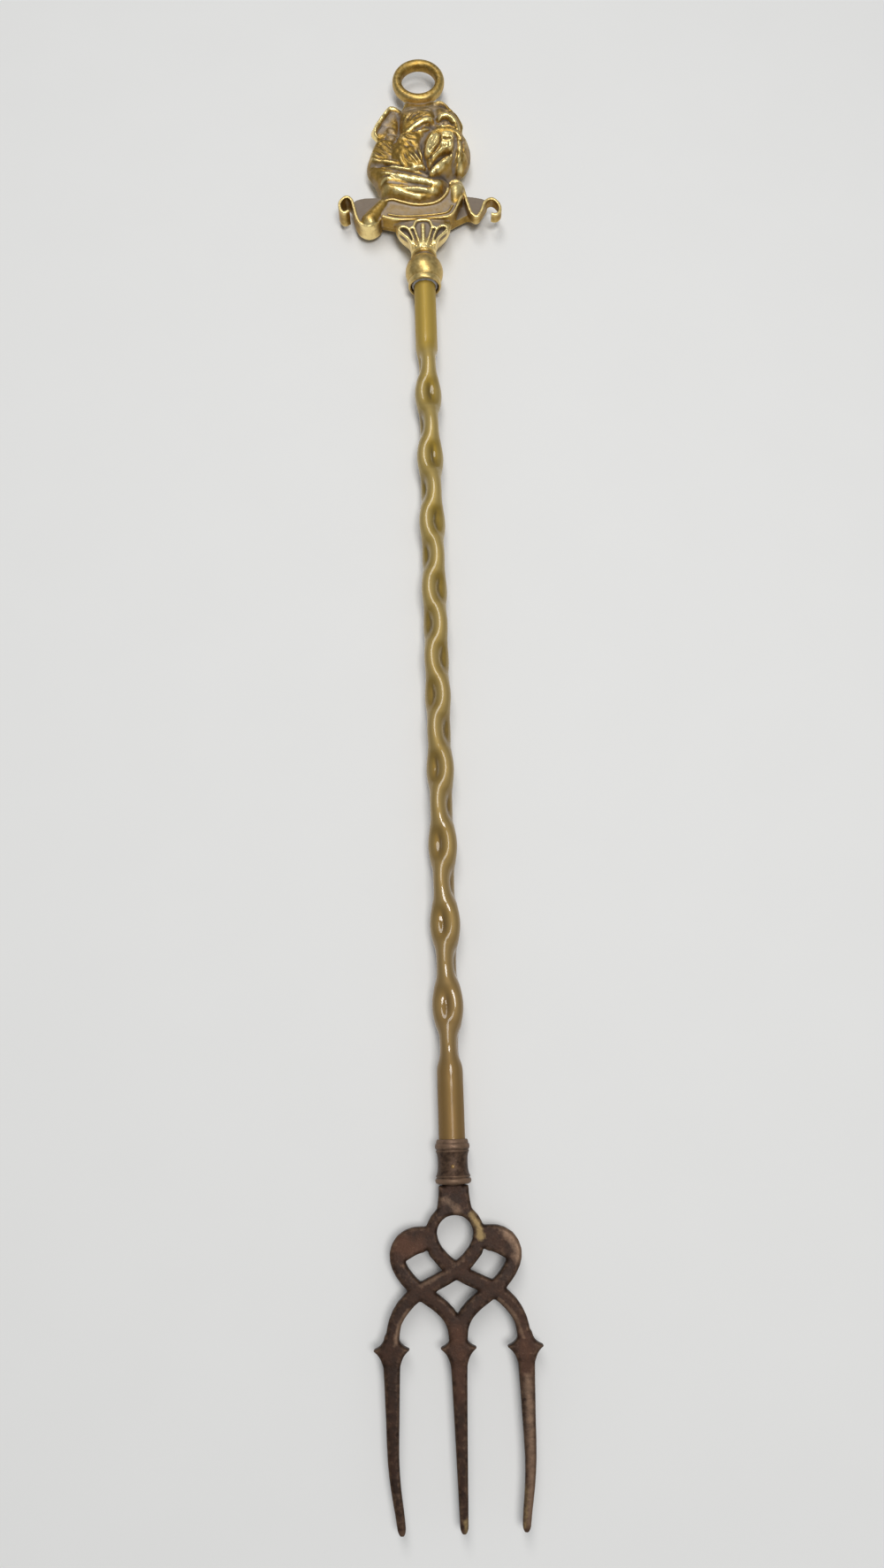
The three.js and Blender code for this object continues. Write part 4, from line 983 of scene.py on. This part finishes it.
# Worn and stained places on the fork, measured from the top of its neck: path, half width, strength
RUBBED = {
    "right_lobe": ([(15.2, -14), (17.8, -17), (18.2, -20.4)], 1.7, 0.8),
    "right_tine": ([(19.4, -52), (19.6, -66), (19.2, -78), (18.2, -89)], 1.1, 0.7),
    "left_arm": ([(-14.4, -34), (-17, -38.6), (-18.4, -43)], 0.7, 0.5),
    "right_arm": ([(12, -31.4), (16.4, -36), (18.8, -42)], 0.6, 0.45),
    "neck": ([(-2.6, -4), (-1, -5), (1, -7)], 1.3, 0.5),
    "crossing": ([(-12, -28), (-4, -24.6), (2, -21)], 0.6, 0.3),
}
BRASSY = {
    "eye_strand": ([(5.2, -8.6), (6.8, -11.4), (7.6, -14.6)], 1.3, 1.0),
    "middle_tip": ([(0.5, -88.4), (0.7, -91.4)], 0.9, 0.8),
    "right_tip": ([(17.6, -80), (17, -90)], 0.9, 0.5),
}
RUSTY = {
    "left_lobe": ([(-16.8, -15.4), (-14, -17.4), (-11, -17.4)], 2.8, 0.9),
    "middle_tine": ([(0, -40), (0, -56)], 2.4, 0.5),
    "right_barbs": ([(19, -42), (19, -50)], 2.6, 0.5),
}


def fork_ferrule():
    low, high = node_box("fork_ferrule")
    socket = STEM_RADIUS + FERRULE_FIT
    stop = high.y - FERRULE_SOCKET
    outside = [(radius, high.y + drop) for radius, drop in reversed(FERRULE_OUTLINE)]
    profile = [(TANG_HOLE, low.y), *outside, (socket, high.y), (socket, stop), (TANG_HOLE, stop)]
    mesh = to_mesh("fork_ferrule", turned(profile, 96))
    # Its polish all over is a painted sheen that makes the ferrule paler
    mark_wear_and_shading(mesh, "fork_ferrule")
    link_piece("fork_ferrule", mesh, "fork_ferrule", "dark_brass")


def ferrule_pin():
    low, high = node_box("ferrule_pin")
    radius = (high.x - low.x) / 2
    bm = bmesh.new()
    bmesh.ops.create_cone(bm, cap_ends=True, segments=32, radius1=radius, radius2=radius,
                          depth=high.z - low.z)
    rims = [edge for edge in bm.edges if abs(edge.verts[0].co.z - edge.verts[1].co.z) < 1e-6]
    bmesh.ops.bevel(bm, geom=rims, offset=PIN_ROUND, offset_type="OFFSET", affect="EDGES", segments=4,
                    profile=0.5, material=-1)
    bmesh.ops.translate(bm, verts=bm.verts, vec=(low + high) / 2)
    link_piece("ferrule_pin", to_mesh("ferrule_pin", bm), "ferrule_pin", "tube_brass")


def fork_head():
    """The frame's own fork with its edges worn round, and its plate left flat in front and behind."""
    bm = bmesh.new()
    bm.from_mesh(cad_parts["fork_head"].data)
    bmesh.ops.remove_doubles(bm, verts=bm.verts, dist=1e-6)
    bmesh.ops.scale(bm, verts=bm.verts, vec=(1 / MM, 1 / MM, 1 / MM))
    bmesh.ops.translate(bm, verts=bm.verts, vec=(0, -MOUTH, -AXIS_HEIGHT))
    mesh = fuse("fork_head", [bm], FORK_VOXEL, FORK_SOFTENING)
    points = fork_points(mesh)
    neck_top = node_box("fork_ferrule")[0].y - FIT
    plate = points[:, 1] < neck_top
    points[plate, 2] = np.clip(points[plate, 2], -PLATE / 2, PLATE / 2)
    set_points(mesh, (points + FORK_ORIGIN) * MM)
    mark_wear_and_shading(mesh, "fork_head")
    x, y = points[:, 0], points[:, 1] - neck_top
    mark(mesh, "ridge", spread_over(RUBBED, x, y))
    mark(mesh, "brassy", spread_over(BRASSY, x, y))
    mark(mesh, "rusty", spread_over(RUSTY, x, y))
    link_piece("fork_head", mesh, "fork_head", "dark_brass")


# Nodes of the finishes


def new_finish(name):
    """A material, its tree and shader, and the place on the piece that its patterns follow."""
    material = bpy.data.materials.new(name)
    material.use_nodes = True
    tree = material.node_tree
    place = add_node(tree, "ShaderNodeTexCoord", {}).outputs["Object"]
    return material, tree, tree.nodes["Principled BSDF"], place


def fill(node, inputs):
    """Links other nodes to a node's inputs, and sets plain values on them."""
    for key, value in inputs.items():
        if isinstance(value, bpy.types.NodeSocket):
            node.id_data.links.new(value, node.inputs[key])
        else:
            node.inputs[key].default_value = value


def add_node(tree, kind, inputs, **settings):
    node = tree.nodes.new(kind)
    for key, value in settings.items():
        setattr(node, key, value)
    fill(node, inputs)
    return node


def marked(tree, name):
    return add_node(tree, "ShaderNodeAttribute", {}, attribute_name=name).outputs["Fac"]


def grain(place, scale, detail=4.0, roughness=0.55):
    inputs = {"Vector": place, "Scale": scale, "Detail": detail, "Roughness": roughness}
    return add_node(place.id_data, "ShaderNodeTexNoise", inputs).outputs["Fac"]


def sums(operation, first, second):
    return add_node(first.id_data, "ShaderNodeMath", {0: first, 1: second}, operation=operation).outputs[0]


def between(value, low, high, to_low=0.0, to_high=1.0):
    """Carries a range of values over to another range, and stops at its ends."""
    inputs = {"Value": value, "From Min": low, "From Max": high, "To Min": to_low, "To Max": to_high}
    return add_node(value.id_data, "ShaderNodeMapRange", inputs).outputs[0]


def vary(pattern, low, high):
    """Swings between two values with a noise pattern."""
    return between(pattern, 0.3, 0.7, low, high)


def uneven(value, pattern, low, high):
    """A value that a noise pattern lowers here and raises there."""
    return sums("ADD", value, vary(pattern, low, high))


def tint(share, first, second):
    inputs = {0: share, 6: first, 7: second}
    return add_node(share.id_data, "ShaderNodeMix", inputs, data_type="RGBA").outputs[2]


def bumps(shader, *layers):
    """Roughens the surface with layers of pattern, strength and height."""
    inputs = {}
    for pattern, strength, height in layers:
        inputs.update({"Strength": strength, "Distance": height, "Height": pattern})
        inputs["Normal"] = add_node(shader.id_data, "ShaderNodeBump", inputs).outputs[0]
    fill(shader, {"Normal": inputs["Normal"]})


# Finishes

# The bright colour is polish and painted highlight, and the darkest colour is painted shade in the crevices
CAST_GOLD = (0.5, 0.307, 0.064, 1)
CAST_OLIVE = (0.28, 0.17, 0.038, 1)
CAST_BRIGHT = (1.0, 0.79, 0.35, 1)
CAST_GREY = (0.325, 0.27, 0.22, 1)
CAST_SHADE = (0.075, 0.052, 0.034, 1)


def cast_brass():
    """Aged cast brass: ridges polished and painted with highlights, olive in between, grey-brown hollows, and
    crevices darkened with painted shade.
    """
    material, tree, shader, place = new_finish("cast_brass")
    cloud = grain(place, 320.0, 6.0, 0.65)
    skin = grain(place, 900.0)
    speck = grain(place, 2400.0, 3.0)
    # Grey dirt in the hollows, which on the head's forehead and low side walls is painted shade
    dirt_and_shade = uneven(marked(tree, "hollow"), cloud, -0.3, 0.3)
    grime_and_shade = between(dirt_and_shade, 0.15, 0.85, 0.0, 0.9)
    rubbed_and_lit = uneven(marked(tree, "ridge"), skin, -0.12, 0.12)
    shine = between(rubbed_and_lit, 0.25, 0.95)
    # Painted shade in the crevices
    painted_shade = between(marked(tree, "crevice"), 0.05, 0.9, 0.0, 0.8)
    metal = tint(between(cloud, 0.35, 0.65), CAST_OLIVE, CAST_GOLD)
    # Painted highlight, with the polish, on the ridges
    worn_and_highlit = tint(shine, metal, CAST_BRIGHT)
    greyed = tint(grime_and_shade, worn_and_highlit, CAST_GREY)
    dull = uneven(between(grime_and_shade, 0, 1, 0.44, 0.6), skin, -0.06, 0.08)
    fill(shader, {
        "Base Color": tint(painted_shade, greyed, CAST_SHADE),
        "Metallic": between(grime_and_shade, 0, 1, 0.88, 0.35),
        "Roughness": sums("SUBTRACT", dull, between(shine, 0, 1, 0.0, 0.14)),
    })
    bumps(shader, (skin, 0.22, 0.0004), (speck, 0.15, 0.0002))
    return material


# The top colour is painted light, which makes the plain tube lighter near the ball
TUBE_TOP = (0.46, 0.3, 0.038, 1)
TUBE_GOLD = (0.312, 0.203, 0.025, 1)
TUBE_OLIVE = (0.205, 0.136, 0.023, 1)
TUBE_BROWN = (0.235, 0.136, 0.055, 1)
TUBE_BRIGHT = (0.525, 0.394, 0.148, 1)

# Stretches of the tube, from one place along it to another: lighter near the ball as painted light, browned
# near the fork, and glossy in between, where the crimps are handled
LIGHTER_TOP_STRETCH = (MOUTH - 20, MOUTH - 40)
FERRULE_TOP = node_box("fork_ferrule")[1].y + MOUTH
BROWN_STRETCH = (FERRULE_TOP + 200, FERRULE_TOP)
CRIMPS_TOP = MOUTH - CRIMP_START
CRIMPS_FOOT = CRIMPS_TOP - CRIMP_COUNT * CRIMP_STEP
GLOSS_BELOW = (CRIMPS_TOP + CRIMP_STEP, CRIMPS_TOP)
GLOSS_ABOVE = (CRIMPS_FOOT, CRIMPS_FOOT + CRIMP_STEP)


def reached(along, stretch, most=1.0):
    """How far along a stretch of the tube a place lies."""
    start, end = stretch
    return between(along, start * MM, end * MM, 0.0, most)


def tube_brass():
    """Satin drawn brass: lighter near the ball as painted light, olive in the dimples, brighter on the
    ridges, browned near the fork.
    """
    material, tree, shader, place = new_finish("tube_brass")
    along = add_node(tree, "ShaderNodeSeparateXYZ", {0: place}).outputs["Y"]
    drawn = add_node(tree, "ShaderNodeMapping", {"Vector": place, "Scale": (1.0, 0.12, 1.0)}).outputs[0]
    cloud = grain(place, 120.0, 5.0)
    mottle = grain(place, 700.0, 5.0, 0.65)
    lines = grain(drawn, 2600.0, 2.0)
    dirt_and_shade = uneven(marked(tree, "hollow"), cloud, -0.3, 0.3)
    stained = uneven(dirt_and_shade, mottle, -0.15, 0.15)
    metal = tint(between(stained, -0.1, 0.6), TUBE_GOLD, TUBE_OLIVE)
    lighter_at_top = tint(reached(along, LIGHTER_TOP_STRETCH), TUBE_TOP, metal)
    worn_and_highlit = tint(between(marked(tree, "ridge"), 0.2, 1.0, 0.0, 0.6), lighter_at_top, TUBE_BRIGHT)
    wavering = uneven(along, cloud, -0.01, 0.01)
    browned = reached(wavering, BROWN_STRETCH, 0.85)
    handled_and_shining = sums("MULTIPLY", reached(along, GLOSS_BELOW), reached(along, GLOSS_ABOVE))
    fill(shader, {
        "Base Color": tint(browned, worn_and_highlit, TUBE_BROWN),
        "Metallic": 0.6,
        "Roughness": uneven(vary(cloud, 0.56, 0.64), lines, -0.03, 0.05),
        "Specular IOR Level": 0.15,
        "Coat Weight": between(handled_and_shining, 0, 1, 0.12, 1.0),
        "Coat Roughness": 0.06,
    })
    bumps(shader, (lines, 0.06, 0.0002))
    return material


# The pale colour is rubbed wear on the fork, and a painted sheen on the ferrule
FORK_BROWN = (0.026, 0.0145, 0.0098, 1)
FORK_RUST = (0.0787, 0.0361, 0.0213, 1)
FORK_PALE = (0.23, 0.144, 0.0918, 1)
FORK_BRASS = (0.23, 0.157, 0.0689, 1)


def dark_brass():
    """Brass browned by heat, rubbed paler along its edges, with rusty and brassy patches; on the ferrule the
    paler colour spreads all over as a painted sheen.
    """
    material, tree, shader, place = new_finish("dark_brass")
    cloud = grain(place, 140.0, 6.0, 0.65)
    mottle = grain(place, 600.0, 5.0, 0.65)
    speck = grain(place, 2200.0, 3.0)
    rust = sums("ADD", between(cloud, 0.4, 0.75, 0.0, 0.6), marked(tree, "rusty"))
    stained = uneven(rust, mottle, -0.2, 0.2)
    base = tint(between(stained, 0.0, 1.0, 0.0, 0.85), FORK_BROWN, FORK_RUST)
    rubbed_and_lit = uneven(marked(tree, "ridge"), mottle, -0.25, 0.2)
    edges = tint(between(rubbed_and_lit, 0.15, 1.0, 0.0, 0.8), base, FORK_PALE)
    brass = uneven(marked(tree, "brassy"), mottle, -0.3, 0.3)
    fill(shader, {
        "Base Color": tint(between(brass, 0.25, 0.95), edges, FORK_BRASS),
        "Metallic": 0.35,
        "Roughness": uneven(vary(cloud, 0.38, 0.52), speck, -0.05, 0.08),
        "Specular IOR Level": 0.12,
    })
    bumps(shader, (mottle, 0.2, 0.0004), (speck, 0.15, 0.0002))
    return material


SOLDER_DARK = (0.3, 0.285, 0.265, 1)
SOLDER_PALE = (0.6, 0.585, 0.56, 1)


def grey_solder():
    """Dull grey solder, slightly pitted."""
    material, _, shader, place = new_finish("grey_solder")
    cloud = grain(place, 900.0, 5.0)
    fill(shader, {
        "Base Color": tint(cloud, SOLDER_DARK, SOLDER_PALE),
        "Metallic": 0.8,
        "Roughness": vary(cloud, 0.45, 0.65),
    })
    bumps(shader, (cloud, 0.3, 0.0003))
    return material


FINISHES = {
    "cast_brass": cast_brass,
    "tube_brass": tube_brass,
    "dark_brass": dark_brass,
    "solder": grey_solder,
}


# Stage, with places in metres

FLOOR_SIZE = 4
FLOOR_COLOUR = (0.78, 0.77, 0.75, 1)
FLOOR_PALE = (0.8, 0.79, 0.77, 1)
WORLD_COLOUR = (0.9, 0.95, 1.0, 1)
WORLD_STRENGTH = 0.24
# Lamps: width, length, power, place, and the place that it points at
LAMPS = {
    "window": (0.4, 0.9, 5.2, (-0.1, 0.5, 1.1), (0, 0.05, 0)),
    "ceiling": (0.4, 0.4, 6.4, (0.18, -0.2, 1.15), (0, 0.02, 0)),
}
CAMERA_PLACE = (-0.0028, -0.1445, 0.377)
CAMERA_TILT = 15.75
CAMERA_TURN = -1.78
FOCAL_PIXELS = 1332
PHOTO_HEIGHT = 1773
SENSOR = 36.0


def stage():
    bm = bmesh.new()
    bmesh.ops.create_grid(bm, x_segments=1, y_segments=1, size=FLOOR_SIZE)
    floor = new_object("floor", plain_mesh("floor", bm))
    material, _, shader, place = new_finish("floor_paper")
    paper = grain(place, 30.0)
    fill(shader, {"Base Color": tint(paper, FLOOR_COLOUR, FLOOR_PALE), "Roughness": 0.9})
    floor.data.materials.append(material)


def lights():
    world = bpy.data.worlds.new("studio")
    world.use_nodes = True
    fill(world.node_tree.nodes["Background"], {"Color": WORLD_COLOUR, "Strength": WORLD_STRENGTH})
    bpy.context.scene.world = world
    for name, (width, length, power, place, aim) in LAMPS.items():
        data = bpy.data.lights.new(name, "AREA")
        data.shape = "ELLIPSE"
        data.size = width
        data.size_y = length
        data.energy = power
        light = new_object(name, data)
        light.location = place
        light.rotation_euler = (Vector(place) - Vector(aim)).to_track_quat("Z", "Y").to_euler()


def camera():
    data = bpy.data.cameras.new("camera")
    data.sensor_width = SENSOR
    data.lens = FOCAL_PIXELS / PHOTO_HEIGHT * SENSOR
    data.clip_start = 0.01
    view = new_object("camera", data)
    view.location = CAMERA_PLACE
    view.rotation_euler = (math.radians(CAMERA_TILT), 0, math.radians(CAMERA_TURN))
    bpy.context.scene.camera = view


camera()
stage()
lights()
bpy.context.scene.view_settings.view_transform = "Standard"
hanging_ring()
dog_head()
scroll_and_calyx()
ball_knop()
socket_solder()
stem_tube()
fork_ferrule()
ferrule_pin()
fork_head()
